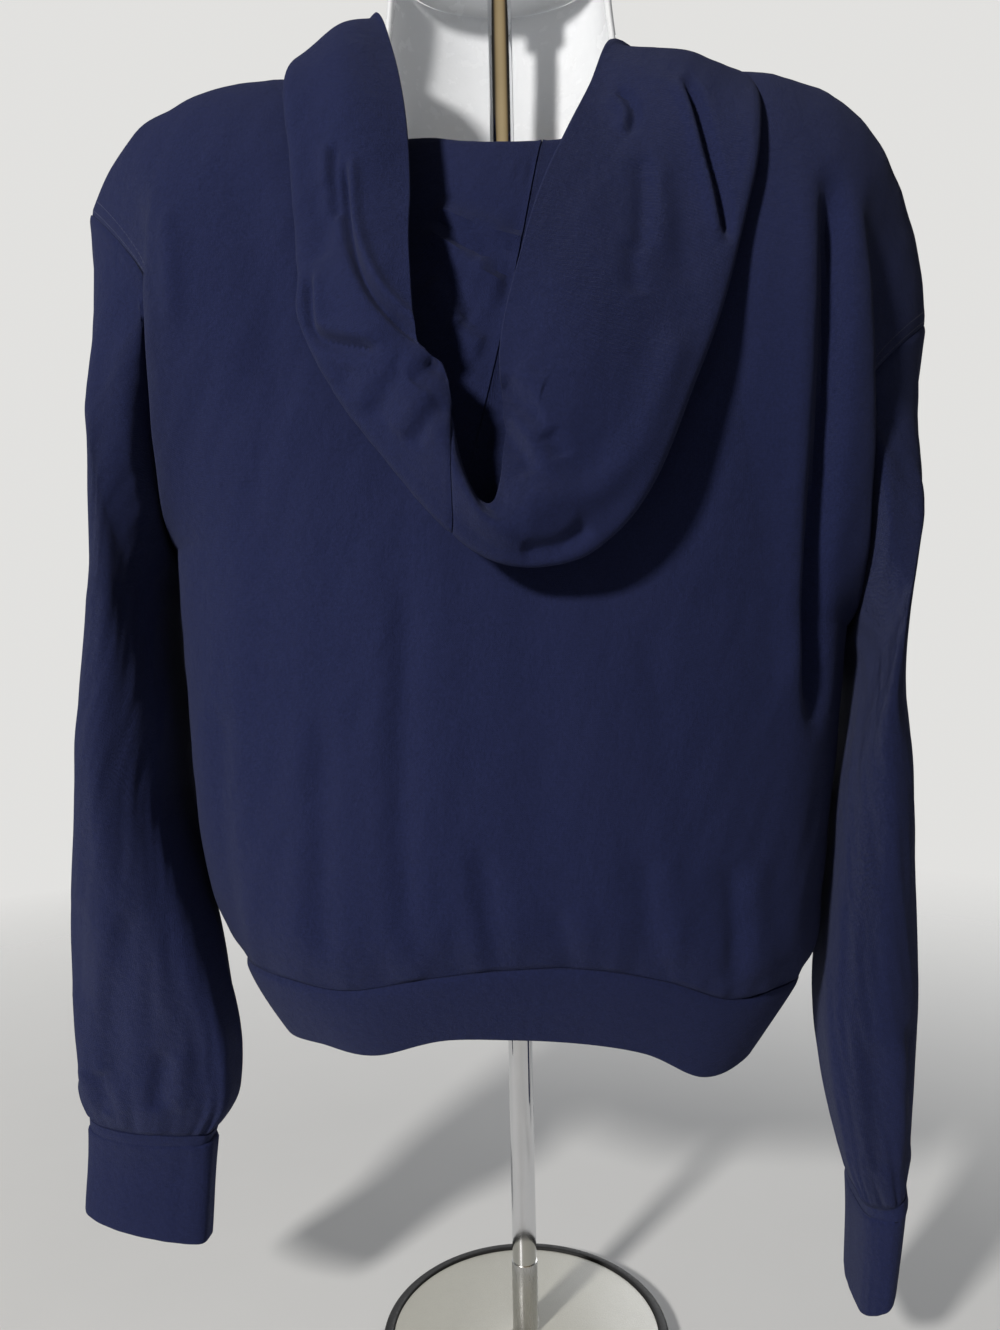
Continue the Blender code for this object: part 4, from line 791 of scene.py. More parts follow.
def rounded(thickness, gap):
    """The thickness of cloth near a folded edge, which ends in a half circle."""
    share = np.clip(gap / (thickness / 2), 0, 1)
    return thickness * np.clip(np.sqrt(1 - (1 - share) ** 2), EDGE_LEAST, 1)


def fold(places, route, width, height, crest=0.0):
    """A soft ridge along a route or, below zero, a trough, fading out at its ends.

    A crest raises the cloth beside it, on the left going along the route or, below zero, the right.
    """
    route = np.asarray(route, float)
    knots = np.arange(len(route))
    route = smooth(np.linspace(0, len(route) - 1, 5 * len(route)), knots, route)
    runs = np.linalg.norm(np.diff(route, axis=0), axis=1)
    ends = np.concatenate([[0], np.cumsum(runs)])
    nearest = np.full(places.shape[:-1], np.inf)
    along = np.zeros_like(nearest)
    beside = np.zeros_like(nearest)
    for a, b, run, start in zip(route, route[1:], runs, ends):
        share = np.clip(((places - a) * (b - a)).sum(-1) / run**2, 0, 1)
        gap = np.linalg.norm(places - a - (b - a) * share[..., None], axis=-1)
        closer = gap < nearest
        nearest = np.where(closer, gap, nearest)
        along = np.where(closer, start + share * run, along)
        over = (b[0] - a[0]) * (places[..., 1] - a[1]) - (b[1] - a[1]) * (places[..., 0] - a[0])
        beside = np.where(closer, np.sign(over), beside)
    share = along / ends[-1]
    fade = eased(share / FOLD_FADE) * eased((1 - share) / FOLD_FADE)
    from_crest = nearest * beside / width - math.copysign(CREST_PLACE, crest)
    raised = abs(crest) * np.exp(-(from_crest**2) / CREST_WIDTH)
    return fade * (height * np.exp(-((nearest / width) ** 2)) + raised)


def folds(places, table_of_folds):
    """The sum of the listed folds."""
    return sum(fold(places, route, width, *heights) for width, route, *heights in table_of_folds)


def swells(u, v, size_u, size_v, seed):
    """Smooth uneven swells, between about -1 and 1, of a size across and a size along."""
    leans = np.random.default_rng(seed).uniform(0, 2 * np.pi, (SWELL_CELLS, SWELL_CELLS))
    a, b = u / size_u, v / size_v
    i, j = np.floor(a).astype(int), np.floor(b).astype(int)
    s, t = a - i, b - j

    def slope(right, up):
        lean = leans[(i + right) % SWELL_CELLS, (j + up) % SWELL_CELLS]
        return np.cos(lean) * (s - right) + np.sin(lean) * (t - up)

    low = slope(0, 0) + (slope(1, 0) - slope(0, 0)) * eased(s)
    high = slope(0, 1) + (slope(1, 1) - slope(0, 1)) * eased(s)
    return SWELL_RISE * (low + (high - low) * eased(t))


def crumpled(u, v, seed):
    """Long swells with small crumples on them, between about -1.5 and 1.5."""
    long_swells = swells(u, v, *SWELL_SIZE, seed)
    small = swells(u + CRUMPLE_LEAN * v, v, *CRUMPLE_SIZE, seed + CRUMPLE_SEED)
    return long_swells + CRUMPLE * small


def kept_at(least, gap):
    """How much of the relief is left near a seam: the least on it, all of it further in."""
    return least + (1 - least) * eased(gap / SEAM_FADE)


def gather_share(gap):
    """How strongly cloth is gathered near the seam of a band."""
    return np.exp(-gap / GATHER_REACH) * eased(gap / GATHER_START)


def wall_corners(rows, columns, wraps):
    """The row, column and side of each corner of a thin solid's faces."""
    across = np.arange(columns if wraps else columns - 1)
    down = np.arange(rows - 1)
    i, j = (grid.ravel() for grid in np.meshgrid(down, across, indexing="ij"))
    square = ((i, j), (i, j + 1), (i + 1, j + 1), (i + 1, j))
    zero, one = np.zeros_like(i), np.ones_like(i)
    faces = [[(r, c, zero) for r, c in square], [(r, c, one) for r, c in square[::-1]]]
    for row, (first, second) in ((0, (across + 1, across)), (rows - 1, (across, across + 1))):
        at, near, far = (np.full_like(across, value) for value in (row, 0, 1))
        faces.append([(at, first, near), (at, second, near), (at, second, far), (at, first, far)])
    for column, (first, second) in ((0, (down, down + 1)), (columns - 1, (down + 1, down))):
        at, near, far = (np.full_like(down, value) for value in (column, 0, 1))
        if not wraps:
            faces.append([(first, at, near), (second, at, near), (second, at, far), (first, at, far)])
    return np.concatenate([np.stack([np.stack(corner, -1) for corner in face], 1) for face in faces])


def mesh_piece(name, points, faces, surface, metres=None, body=ROOT, sharp=SHARP_ANGLE):
    """A smooth piece of four-sided faces, turned to look outwards, that rides on a body."""
    points = np.asarray(points, float).reshape(-1, 3)
    a, b, c, d = (points[faces[:, k]] for k in range(4))
    volume = (a * (np.cross(b, c) + np.cross(c, d))).sum()
    order = slice(None) if volume > 0 else slice(None, None, -1)
    faces = faces[:, order]
    mesh = bpy.data.meshes.new(name + PIECE)
    mesh.vertices.add(len(points))
    mesh.vertices.foreach_set("co", points.astype(np.float32).ravel())
    mesh.loops.add(faces.size)
    mesh.polygons.add(len(faces))
    mesh.polygons.foreach_set("loop_start", np.arange(0, faces.size, 4, dtype=np.int32))
    mesh.polygons.foreach_set("vertices", faces.astype(np.int32).ravel())
    mesh.polygons.foreach_set("use_smooth", np.ones(len(faces), bool))
    if metres is not None:
        layer = mesh.uv_layers.new(name=CLOTH_MAP)
        layer.uv.foreach_set("vector", metres[:, order].astype(np.float32).ravel())
    mesh.update(calc_edges=True)
    mesh.set_sharp_from_angle(angle=sharp)
    mesh.materials.append(surface)
    piece = bpy.data.objects.new(name + PIECE, mesh)
    bpy.context.scene.collection.objects.link(piece)
    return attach(piece, body)


def wall(name, points, normals, thickness, surface, relief=0.0, wraps=False, turned=0.0):
    """A sheet of cloth or plastic as a thin solid, its middle raised by the relief."""
    rows, columns = points.shape[:2]
    half = np.broadcast_to(thickness, (rows, columns))[..., None] / 2
    middle = points + normals * np.broadcast_to(relief, (rows, columns))[..., None]
    both = np.stack([middle + normals * half, middle - normals * half])
    corners = wall_corners(rows, columns, wraps)
    row, column, side = corners[..., 0], corners[..., 1], corners[..., 2]
    faces = side * rows * columns + row * columns + column % columns
    metres = metres_of(middle, wraps, turned)
    return mesh_piece(name, both, faces, surface, metres[row, column])


def offsets(points, tree, gap, outside):
    """How far each point must move, square to the nearest surface, to lie the gap away from it."""
    side = 1 if outside else -1
    gaps = np.broadcast_to(gap, len(points))
    moves = np.zeros_like(points)
    for index, (point, gap) in enumerate(zip(points, gaps)):
        place, normal, _, distance = tree.find_nearest(Vector(point))
        height = side * (Vector(point) - place).dot(normal)
        over_surface = abs(height) > RIDGE_LEAN * distance and (outside or distance < INSIDE_REACH)
        if over_surface and height < gap:
            moves[index] = normal * side * (gap - height)
    return moves


def moved_to(points, tree, gap, outside=True):
    """Points nearer than the gap to a surface, or past it, moved to that distance from it."""
    flat = points.reshape(-1, 3)
    return (flat + offsets(flat, tree, gap, outside)).reshape(points.shape)


def torso_normals(turn, height, behind):
    """Outward directions of the body. Above the underarm a panel ends at its armhole."""
    low, high = (0, 0.5) if behind else (0.5 + EDGE, 1 - EDGE)
    above_arm = height > 1
    after = np.where(above_arm, np.clip(turn + STEP, low, high), np.mod(turn + STEP, 1))
    before = np.where(above_arm, np.clip(turn - STEP, low, high), np.mod(turn - STEP, 1))
    along = torso(after, height) - torso(before, height)
    up = torso(turn, np.clip(height + STEP, 0, 2)) - torso(turn, np.clip(height - STEP, 0, 2))
    return unit(np.cross(along, up))


def grid_normals(points, wraps=False):
    """Directions square to a grid of points: at each, the mean of those of the cells round it."""
    if wraps:
        points = np.concatenate([points[:, -1:], points, points[:, :1]], 1)
    across = points[:-1, 1:] - points[1:, :-1]
    cells = unit(np.cross(across, points[1:, 1:] - points[:-1, :-1]))
    cells = np.pad(cells, ((1, 1), (1, 1), (0, 0)))
    normals = unit(cells[:-1, :-1] + cells[:-1, 1:] + cells[1:, :-1] + cells[1:, 1:])
    return normals[:, 1:-1] if wraps else normals


def pulled(points, borders, by=SEAM_PULL):
    """A grid whose named borders are drawn in by half a seam's gap."""
    points = points.copy()
    places = {
        "first_row": (np.s_[0], np.s_[1]),
        "last_row": (np.s_[-1], np.s_[-2]),
        "first_column": (np.s_[:, 0], np.s_[:, 1]),
        "last_column": (np.s_[:, -1], np.s_[:, -2]),
    }
    for border in borders:
        edge, inner = places[border]
        points[edge] += unit(points[inner] - points[edge]) * by
    return points


def armhole(rows):
    """Shared directions of body and sleeve round an armhole, and how far the sleeve folds back."""
    left = rows[0][1] > 0
    turns = np.arange(SLEEVE_SPACES) / SLEEVE_SPACES
    behind = turns <= 0.5
    height = 1 + np.where(behind, turns, 1 - turns) * 2
    count = np.ones(SLEEVE_SPACES)
    back = torso_normals(count * (0.0 if left else 0.5), height, True)
    front = torso_normals(count * (1 - EDGE if left else 0.5 + EDGE), height, False)
    body = np.where(behind[:, None], back, front)
    down = sleeve(rows, turns, 2 * STEP) - sleeve(rows, turns, 0)
    along = sleeve(rows, turns + STEP, 0) - sleeve(rows, turns - STEP, 0)
    arm = unit(np.cross(along, down)) * (1 if left else -1)
    folded = np.clip((FOLD_FROM - (body * arm).sum(-1)) / FOLD_OVER, 0, 1)[:, None]
    both = unit(body + arm + EDGE)
    return unit(both + (body - both) * folded), unit(both + (arm - both) * folded), body * folded


def seam_directions(turn):
    """Directions shared by the body and the hem band at their seam."""
    body = torso_normals(turn, np.zeros_like(turn), True)
    down = band(turn, 2 * STEP) - band(turn, 0)
    along = band(np.mod(turn + STEP, 1), 0) - band(np.mod(turn - STEP, 1), 0)
    return unit(body + unit(np.cross(down, along)))


def front_turns():
    """Places across the two fronts: the wearer's right from its side seam, the left from the zip."""
    right = spread(*FRONT_TURNS)
    return right, 1.5 - right[::-1]


def to_zip(points, zip_column, side_column):
    """Columns of a front eased across, so that its edge is straight beside the zip."""
    count = points.shape[1]
    columns = np.arange(count)
    near = np.clip(1 - np.abs(columns - zip_column % count) / sum(FRONT_TURNS[1]), 0, 1) ** 3
    target = math.copysign(ZIP_EDGE, side_column)
    points[..., 0] += (target - points[:, zip_column, 0])[:, None] * near
    return points


def make_body(cloth):
    """The back and the two fronts."""
    directions = dict(left=armhole(SLEEVE_LEFT)[0], right=armhole(SLEEVE_RIGHT)[0])
    heights = spread(*TORSO_HEIGHTS)
    low = len(heights) - 1 - TORSO_HEIGHTS[1][-1]
    around = np.arange(SLEEVE_SPACES // 2 + 1)
    right_front, left_front = front_turns()
    panels = (
        ("back", spread(*BACK_TURNS), (("left", 0, around), ("right", -1, around)), BACK_FOLDS),
        ("front_right", right_front, (("right", 0, -around),), FRONT_FOLDS),
        ("front_left", left_front, (("left", -1, -around),), FRONT_FOLDS),
    )
    made = {}
    for seed, (name, turns, armholes, table_of_folds) in enumerate(panels):
        turn, height = np.meshgrid(turns, heights)
        points = torso(turn, height)
        if name == "front_right":
            points = to_zip(points, -1, -1)
        if name == "front_left":
            points = to_zip(points, 0, 1)
        normals = torso_normals(turn, height, name == "back")
        normals[1:-1, 1:-1] = grid_normals(points)[1:-1, 1:-1]
        normals[0] = seam_directions(turns)
        for side, place, order in armholes:
            normals[low:, place] = directions[side][order]
        gaps = border_gaps(points)
        places = points[..., [0, 2]]
        uneven = CLOTH_SWELL * crumpled(places[..., 0], places[..., 1], seed)
        shaped = folds(places, table_of_folds) + uneven
        for border in ("last_row", "first_column", "last_column"):
            shaped = shaped * eased(gaps[border] / SEAM_FADE)
        shaped = shaped * kept_at(HEM_RELIEF, gaps["first_row"])
        gathers = swells(places[..., 0], places[..., 1], *GATHER_SIZE, seed + BODY_GATHER_SEED)
        shaped = shaped + GATHER * gather_share(gaps["first_row"]) * gathers
        borders = ["first_row", "last_row", "first_column", "last_column"]
        relief = shaped + seam_dips(gaps, borders)
        points = pulled(points, borders)
        wall(name, points, normals, CLOTH, cloth, relief)
        made[name] = (points + normals * (relief + CLOTH / 2)[..., None], normals)
    return made


def make_band(rib):
    """The hem band runs round from one side of the zip to the other."""
    right_front, left_front = front_turns()
    turns = np.concatenate([left_front[:-1], spread(*BACK_TURNS), right_front[1:]])
    turn, share = np.meshgrid(turns, spread(*BAND_SHARES))
    points = to_zip(to_zip(band(turn, share), 0, 1), -1, -1)
    down = band(turn, np.clip(share + STEP, 0, 1)) - band(turn, np.clip(share - STEP, 0, 1))
    along = band(np.mod(turn + STEP, 1), share) - band(np.mod(turn - STEP, 1), share)
    normals = unit(np.cross(down, along))
    normals[0] = seam_directions(turns)
    gaps = border_gaps(points)
    uneven = BAND_SWELL * swells(turn, share, *BAND_SWELL_SIZE, BAND_SEED)
    uneven = uneven * eased(gaps["first_row"] / BAND_FADE)
    relief = uneven + seam_dips(gaps, ("first_row",))
    points = pulled(points, ("first_row",))
    thickness = np.minimum(rounded(RIB, gaps["last_row"]), rounded(RIB, gaps["first_column"]))
    thickness = np.minimum(thickness, rounded(RIB, gaps["last_column"]))
    wall("hem_band", points, normals, thickness, rib, relief)


def make_sleeve(side, rows, body_tree, tube, cloth, rib):
    """One sleeve and its cuff, clear of the body's side."""
    turns = np.arange(SLEEVE_SPACES) / SLEEVE_SPACES
    upper_shares = spread(*SLEEVE_SHARES)
    shares = np.concatenate([upper_shares, spread(*CUFF_SHARES)])
    turn, share = np.meshgrid(turns, shares)
    points = sleeve(rows, turn, share)
    _, arm, folded = armhole(rows)
    shift = folded * SLEEVE_SHIFT
    points += shift * (1 - eased(share / SHIFT_FADE))[..., None]
    below = points[..., 2] < rows[0][6] - UNDERARM_DROP
    points[below] = moved_to(points[below], tube, SLEEVE_CLEAR)
    near = (share > 0) & (share < SEAM_SHARE) & (np.cos(2 * np.pi * turn) > SEAM_LOW)
    gap = (CLOTH + 2 * SEAM_GAP) * eased(share[near] / SEAM_EASE)
    points[near] = moved_to(points[near], body_tree, gap.ravel())
    normals = grid_normals(points, wraps=True)
    if rows[0][1] < 0:
        normals = -normals
    normals[0] = arm
    last = len(upper_shares)
    normals[last - 1] = normals[last] = unit(normals[last - 2] + normals[last + 1])
    upper, lower = points[:last], points[last:]
    gaps = border_gaps(upper, wraps=True)
    away = SIDE_FOLDS[side]
    behind = np.clip(np.sin(2 * np.pi * turn[:last]), 0, 1) ** 0.5
    outside = np.clip(-np.cos(2 * np.pi * turn[:last]), 0, 1)
    ahead = np.clip(-np.sin(2 * np.pi * turn[:last]), 0, 1) ** 0.5
    shaped = folds(upper[..., [0, 2]], away["behind"]) * behind
    shaped = shaped + folds(upper[..., [1, 2]], away["outside"]) * outside
    shaped = shaped + folds(upper[..., [0, 2]], away["ahead"]) * ahead
    wide = np.abs(np.mod(turn[:last] + 0.5, 1) - 0.5)
    shaped = shaped + CLOTH_SWELL * crumpled(wide * SLEEVE_AROUND, upper[..., 2], SLEEVE_SEED)
    shaped = shaped * eased(gaps["first_row"] / SEAM_FADE) * kept_at(CUFF_RELIEF, gaps["last_row"])
    gathers = swells(wide * SLEEVE_AROUND, upper[..., 2], *GATHER_SIZE, SLEEVE_GATHER_SEED)
    shaped = shaped + GATHER * gather_share(gaps["last_row"]) * gathers
    relief = shaped + seam_dips(gaps, ("first_row", "last_row"))
    upper = pulled(upper, ("first_row", "last_row"))
    wall("sleeve_" + side, upper, normals[:last], CLOTH, cloth, relief, wraps=True)
    gaps = border_gaps(lower, wraps=True)
    around = np.broadcast_to(wide[:1] * SLEEVE_AROUND, lower.shape[:2])
    uneven = BAND_SWELL * swells(around, lower[..., 2], *CUFF_SWELL_SIZE, CUFF_SEED)
    relief = uneven + seam_dips(gaps, ("first_row",))
    lower = pulled(lower, ("first_row",))
    thickness = rounded(RIB, gaps["last_row"])
    wall("cuff_" + side, lower, normals[last:], thickness, rib, relief, wraps=True)


def hood(turns, shares, body_tree):
    """The hood's cloth from the neck seam (0) over the roll, down to the fold and up to its edge (1)."""
    shares = np.asarray(shares, float)
    values = table(HOOD_COLUMNS, HOOD, turns, HOOD_COLUMNS[1:])
    around = np.radians(values[0])
    neck = neckline(around)
    along = neckline(around + STEP) - neckline(around - STEP)
    beside = np.array([body_tree.find_nearest(Vector(point))[1] for point in neck])
    neck = neck + unit(np.cross(beside, along)) * NECK_SEAM_STEP
    edge = np.stack(values[1:4], -1)
    fold_line = np.stack(values[4:7], -1)
    out = np.array([body_tree.find_nearest(Vector(point))[1] for point in fold_line])
    run = fold_line - neck
    run = unit(run - out * (run * out).sum(-1, keepdims=True))
    start = fold_line - (run + out) * HOOD_FOLD
    low, high = HOOD_LIFT
    lift = (low + (high - low) * eased((neck - fold_line)[:, 2:] / HOOD_LIFT_DROP)) * (0, 0, 1)
    lining = (
        (0.00, neck),
        (0.08, neck + lift + out * 0.002),
        (0.22, neck + (start - neck) * 0.33 + out * 0.002),
        (0.38, neck + (start - neck) * 0.70),
        (HOOD_TURN_START, start),
    )
    inner = guided(lining, shares[shares <= HOOD_TURN_START])
    inner[1:] = moved_to(inner[1:], body_tree, HOOD_CLEAR_LOW)
    high_up = eased((shares[: len(inner)] - 0.02) / 0.06)[:, None, None]
    inner = inner + (moved_to(inner, body_tree, HOOD_CLEAR) - inner) * high_up
    around_fold = shares[(shares > HOOD_TURN_START) & (shares < HOOD_TURN_END)]
    angle = np.pi * (around_fold - HOOD_TURN_START) / (HOOD_TURN_END - HOOD_TURN_START) - np.pi / 2
    rise = (1 + np.sin(angle))[:, None, None]
    turned = inner[-1] + (run * np.cos(angle)[:, None, None] + out * rise) * HOOD_FOLD
    end = inner[-1] + out * 2 * HOOD_FOLD
    outside = (
        (HOOD_TURN_END, end),
        (0.60, end + (edge - end) * 0.07 + out * HOOD_PUFF * 0.1),
        (0.78, end + (edge - end) * 0.5 + out * HOOD_PUFF),
        (1.00, edge),
    )
    outer = guided(outside, shares[shares >= HOOD_TURN_END])
    apart = moved_to(outer, tree_of(inner[::-1]), HOOD_LAYERS)
    beside_edge = np.linalg.norm(apart - outer, axis=-1, keepdims=True) > HOOD_REACH
    return np.concatenate([inner, turned, np.where(beside_edge, outer, apart)])


def make_hood(cloth, body_tree):
    """Two panels, joined by a seam from the nape over the crown to the edge of the face opening."""
    shares = spread(*HOOD_SHARES)
    points = hood(spread(*HOOD_TURNS), shares, body_tree)
    points = relaxed(points, HOOD_ROUNDS)
    normals = grid_normals(points)
    gaps = border_gaps(points)
    outer = eased((shares - HOOD_TURN_START) / (HOOD_TURN_END - HOOD_TURN_START))[:, None]
    places = points[..., [0, 2]]
    shaped = folds(places, HOOD_OUTER_FOLDS) * outer - folds(places, HOOD_INNER_FOLDS) * (1 - outer)
    shaped = shaped + HOOD_SWELL * crumpled(places[..., 0], places[..., 1], HOOD_SEED)
    shaped = shaped * eased(gaps["first_row"] / NECK_FADE)
    for name, part, border in (
        ("hood_left", np.s_[:, : HOOD_SEAM_COLUMN + 1], "last_column"),
        ("hood_right", np.s_[:, HOOD_SEAM_COLUMN:], "first_column"),
    ):
        panel = points[part]
        relief = shaped[part] + seam_dips(border_gaps(panel), (border,), depth=HOOD_DIP)
        thickness = rounded(CLOTH, gaps["last_row"][part])
        panel = pulled(panel, (border,), HOOD_PULL)
        wall(name, panel, normals[part], thickness, cloth, relief, turned=HOOD_GRAIN[name])


def make_form(plastic, body_tree):
    """The torso form: a shell open at the back with a raised rim, whose shoulders carry the cloth."""
    turn = np.linspace(0, np.pi, FORM_SPACES + 1)
    rings = spread((0, FORM_COVERED, FORM[-1][0]), FORM_ROWS)
    sizes = table(FORM_COLUMNS, FORM, rings, FORM_COLUMNS[1:])
    grid = []
    for rim_z, middle_z, width, rim_y, front, shoulder in zip(*sizes):
        x = width * power(np.cos(turn), 0.85)
        neck = np.sqrt(np.clip(1 - (x / min(width, FORM_NECK)) ** 2, 0, 1))
        y = rim_y + (shoulder - rim_y) * power(np.sin(turn), 0.8) + (front - shoulder) * neck
        z = rim_z + (middle_z - rim_z) * np.sin(turn) ** 2
        grid.append(np.stack([x, y, z], -1))
    points = np.array(grid)
    covered = int((rings <= FORM_COVERED - 1).sum())
    points[:covered] = moved_to(points[:covered], body_tree, FORM_CLEAR, outside=False)
    normals = grid_normals(points)
    gaps = border_gaps(points)
    side = np.minimum(gaps["first_column"], gaps["last_column"])
    lip = FORM_LIP * np.exp(-((np.clip(side - FORM_LIP_IN, 0, None) / FORM_LIP_WIDE) ** 2))
    thickness = rounded(FORM_WALL, side) + lip * np.clip(side / FORM_LIP_IN, 0.1, 1) ** 0.5
    wall("form_shell", points, normals, thickness, plastic)


def zip_line(x, height):
    """The front's middle: X from the centre, height -1 at the band's bottom to 2 at the neck."""
    x, height = np.broadcast_arrays(np.asarray(x, float), np.asarray(height, float))
    centre = torso(np.full_like(height, 0.75), np.clip(height, 0, 2))
    low = band(np.full_like(height, 0.75), np.clip(-height, 0, 1))
    points = np.where((height < 0)[..., None], low, centre)
    return points + np.stack([x, np.zeros_like(x), np.zeros_like(x)], -1)


def make_tape(side, sign, tape):
    """One of the zip's two woven tapes, with a thicker edge that carries the teeth."""
    heights = spread((TAPE_BOTTOM, 0, TAPE_TOP), (30, 140))
    across = np.linspace(TAPE_INNER, TAPE_OUTER, TAPE_SPACES + 1) * sign
    x, height = np.meshgrid(np.sort(across), heights)
    points = zip_line(x, height)
    down = np.gradient(points, axis=0)
    normals = unit(np.cross(down, (1, 0, 0)))
    thickness = ZIP_TAPE + CORD * np.exp(-(((np.abs(x) - TAPE_INNER) / CORD_WIDTH) ** 2))
    wall("zip_tape_" + side, points, normals, thickness, tape)


def beads(name, centres, along, up, sizes, surface, ends=STITCH_ENDS):
    """Small rounded bars as one piece: half length, half width and half height of each."""
    length, width, height = sizes
    side = unit(np.cross(along, up))
    up = unit(np.cross(side, along))
    stations = np.linspace(-1, 1, len(ends))
    angles = 2 * np.pi * np.arange(BEAD_SIDES) / BEAD_SIDES
    shape = []
    for station, size in zip(stations, ends):
        middle = centres + unit(along) * (station * length)
        for angle in angles:
            beside = side * (math.cos(angle) * width * size)
            shape.append(middle + beside + up * (math.sin(angle) * height * size))
    points = np.stack(shape, 1)
    faces = []
    for i in range(len(ends) - 1):
        for j in range(BEAD_SIDES):
            k = (j + 1) % BEAD_SIDES
            a, b = i * BEAD_SIDES, (i + 1) * BEAD_SIDES
            faces.append((a + j, a + k, b + k, b + j))
    last = (len(ends) - 1) * BEAD_SIDES
    faces += [(0, 3, 2, 1), (0, 5, 4, 3)]
    faces += [(last, last + 1, last + 2, last + 3), (last, last + 3, last + 4, last + 5)]
    starts = np.arange(len(centres))[:, None, None] * points.shape[1]
    every = (np.array(faces)[None] + starts).reshape(-1, 4)
    mesh_piece(name, points, every, surface, sharp=BEAD_SHARP_ANGLE)


def seam_line(grid, border, gap):
    """A line on a cloth's outside, the gap in from one of its borders, and its directions."""
    turned = dict(
        first_row=lambda a: a,
        last_row=lambda a: a[::-1],
        first_column=lambda a: a.swapaxes(0, 1),
        last_column=lambda a: a[:, ::-1].swapaxes(0, 1),
    )[border]
    points, normals = (turned(part) for part in grid)
    steps = np.linalg.norm(np.diff(points, axis=0), axis=-1)
    down = np.concatenate([np.zeros((1, points.shape[1])), np.cumsum(steps, 0)])
    line, directions = [], []
    for j in range(points.shape[1]):
        place = np.interp(gap, down[:, j], np.arange(len(down)))
        low = min(int(place), len(down) - 2)
        share = place - low
        line.append(points[low, j] * (1 - share) + points[low + 1, j] * share)
        directions.append(normals[low, j])
    return np.array(line), unit(np.array(directions))


def along_line(places, ends, line):
    """Points of a line at lengths along it."""
    return np.stack([np.interp(places, ends, line[:, axis]) for axis in range(3)], -1)


def stitches(name, lines, thread):
    """Lockstitches along lines on the cloth, as one piece."""
    centres, tangents, ups = [], [], []
    for line, directions in lines:
        runs = np.linalg.norm(np.diff(line, axis=0), axis=1)
        ends = np.concatenate([[0], np.cumsum(runs)])
        places = np.arange(STITCH_PITCH / 2, ends[-1] - STITCH_PITCH / 2, STITCH_PITCH)
        centres.append(along_line(places, ends, line))
        ahead = along_line(places + STITCH_PITCH / 4, ends, line)
        tangents.append(ahead - along_line(places - STITCH_PITCH / 4, ends, line))
        ups.append(along_line(places, ends, directions))
    centres, tangents, ups = (np.concatenate(part) for part in (centres, tangents, ups))
    centres = centres - unit(ups) * STITCH_SINK
    sizes = (STITCH_LONG / 2, STITCH_THICK / 2, STITCH_THICK / 2)
    beads(name, centres, unit(tangents), unit(ups), sizes, thread)


def make_teeth(teeth):
    """The closed chain of moulded teeth: two rows that mesh."""
    heights = spread((CHAIN_BOTTOM, 0, CHAIN_TOP), (60, 400))
    line = zip_line(0.0, heights)
    runs = np.linalg.norm(np.diff(line, axis=0), axis=1)
    ends = np.concatenate([[0], np.cumsum(runs)])
    places = np.arange(TOOTH_PITCH / 2, ends[-1] - TOOTH_PITCH / 4, TOOTH_PITCH / 2)
    centres = along_line(places, ends, line)
    tangents = np.gradient(centres, axis=0)
    sign = np.where(np.arange(len(places)) % 2, 1.0, -1.0)
    centres = centres + np.outer(sign * TOOTH_SHIFT, (1, 0, 0))
    across = np.tile((1.0, 0, 0), (len(places), 1))
    up = unit(np.cross(tangents, across))
    beads("zip_teeth", centres, across, up, TOOTH_SIZES, teeth, TOOTH_ENDS)


def looped(name, rows, surface):
    """A ring-shaped solid through closed loops of points, the last joined to the first."""
    rows = np.asarray(rows, float)
    count, around = rows.shape[:2]
    i, j = (grid.ravel() for grid in np.meshgrid(np.arange(count), np.arange(around), indexing="ij"))
    down, across = (i + 1) % count, (j + 1) % around
    faces = np.stack([i * around + j, i * around + across, down * around + across, down * around + j], -1)
    return mesh_piece(name, rows, faces, surface)


def revolved(name, outline, surface):
    """A ring-shaped solid of revolution about Z, from a closed outline of radii and heights."""
    angles = 2 * np.pi * np.arange(ROUND_SPACES) / ROUND_SPACES
    rows = [[(r * math.cos(a), r * math.sin(a), z) for a in angles] for r, z in outline]
    return looped(name, rows, surface)


def corner(r, z, size, start):
    """A quarter round of an outline about a centre, from an angle in degrees."""
    angles = np.radians(start + np.linspace(0, 90, CORNER_SPACES + 1))
    return [(r + size * math.cos(a), z + size * math.sin(a)) for a in angles]


def rounded_ring(inner, outer, low, high, size):
    """A closed outline of a ring's section with its four corners rounded."""
    return (
        corner(inner + size, low + size, size, 180)
        + corner(outer - size, low + size, size, 270)
        + corner(outer - size, high - size, size, 0)
        + corner(inner + size, high - size, size, 90)
    )


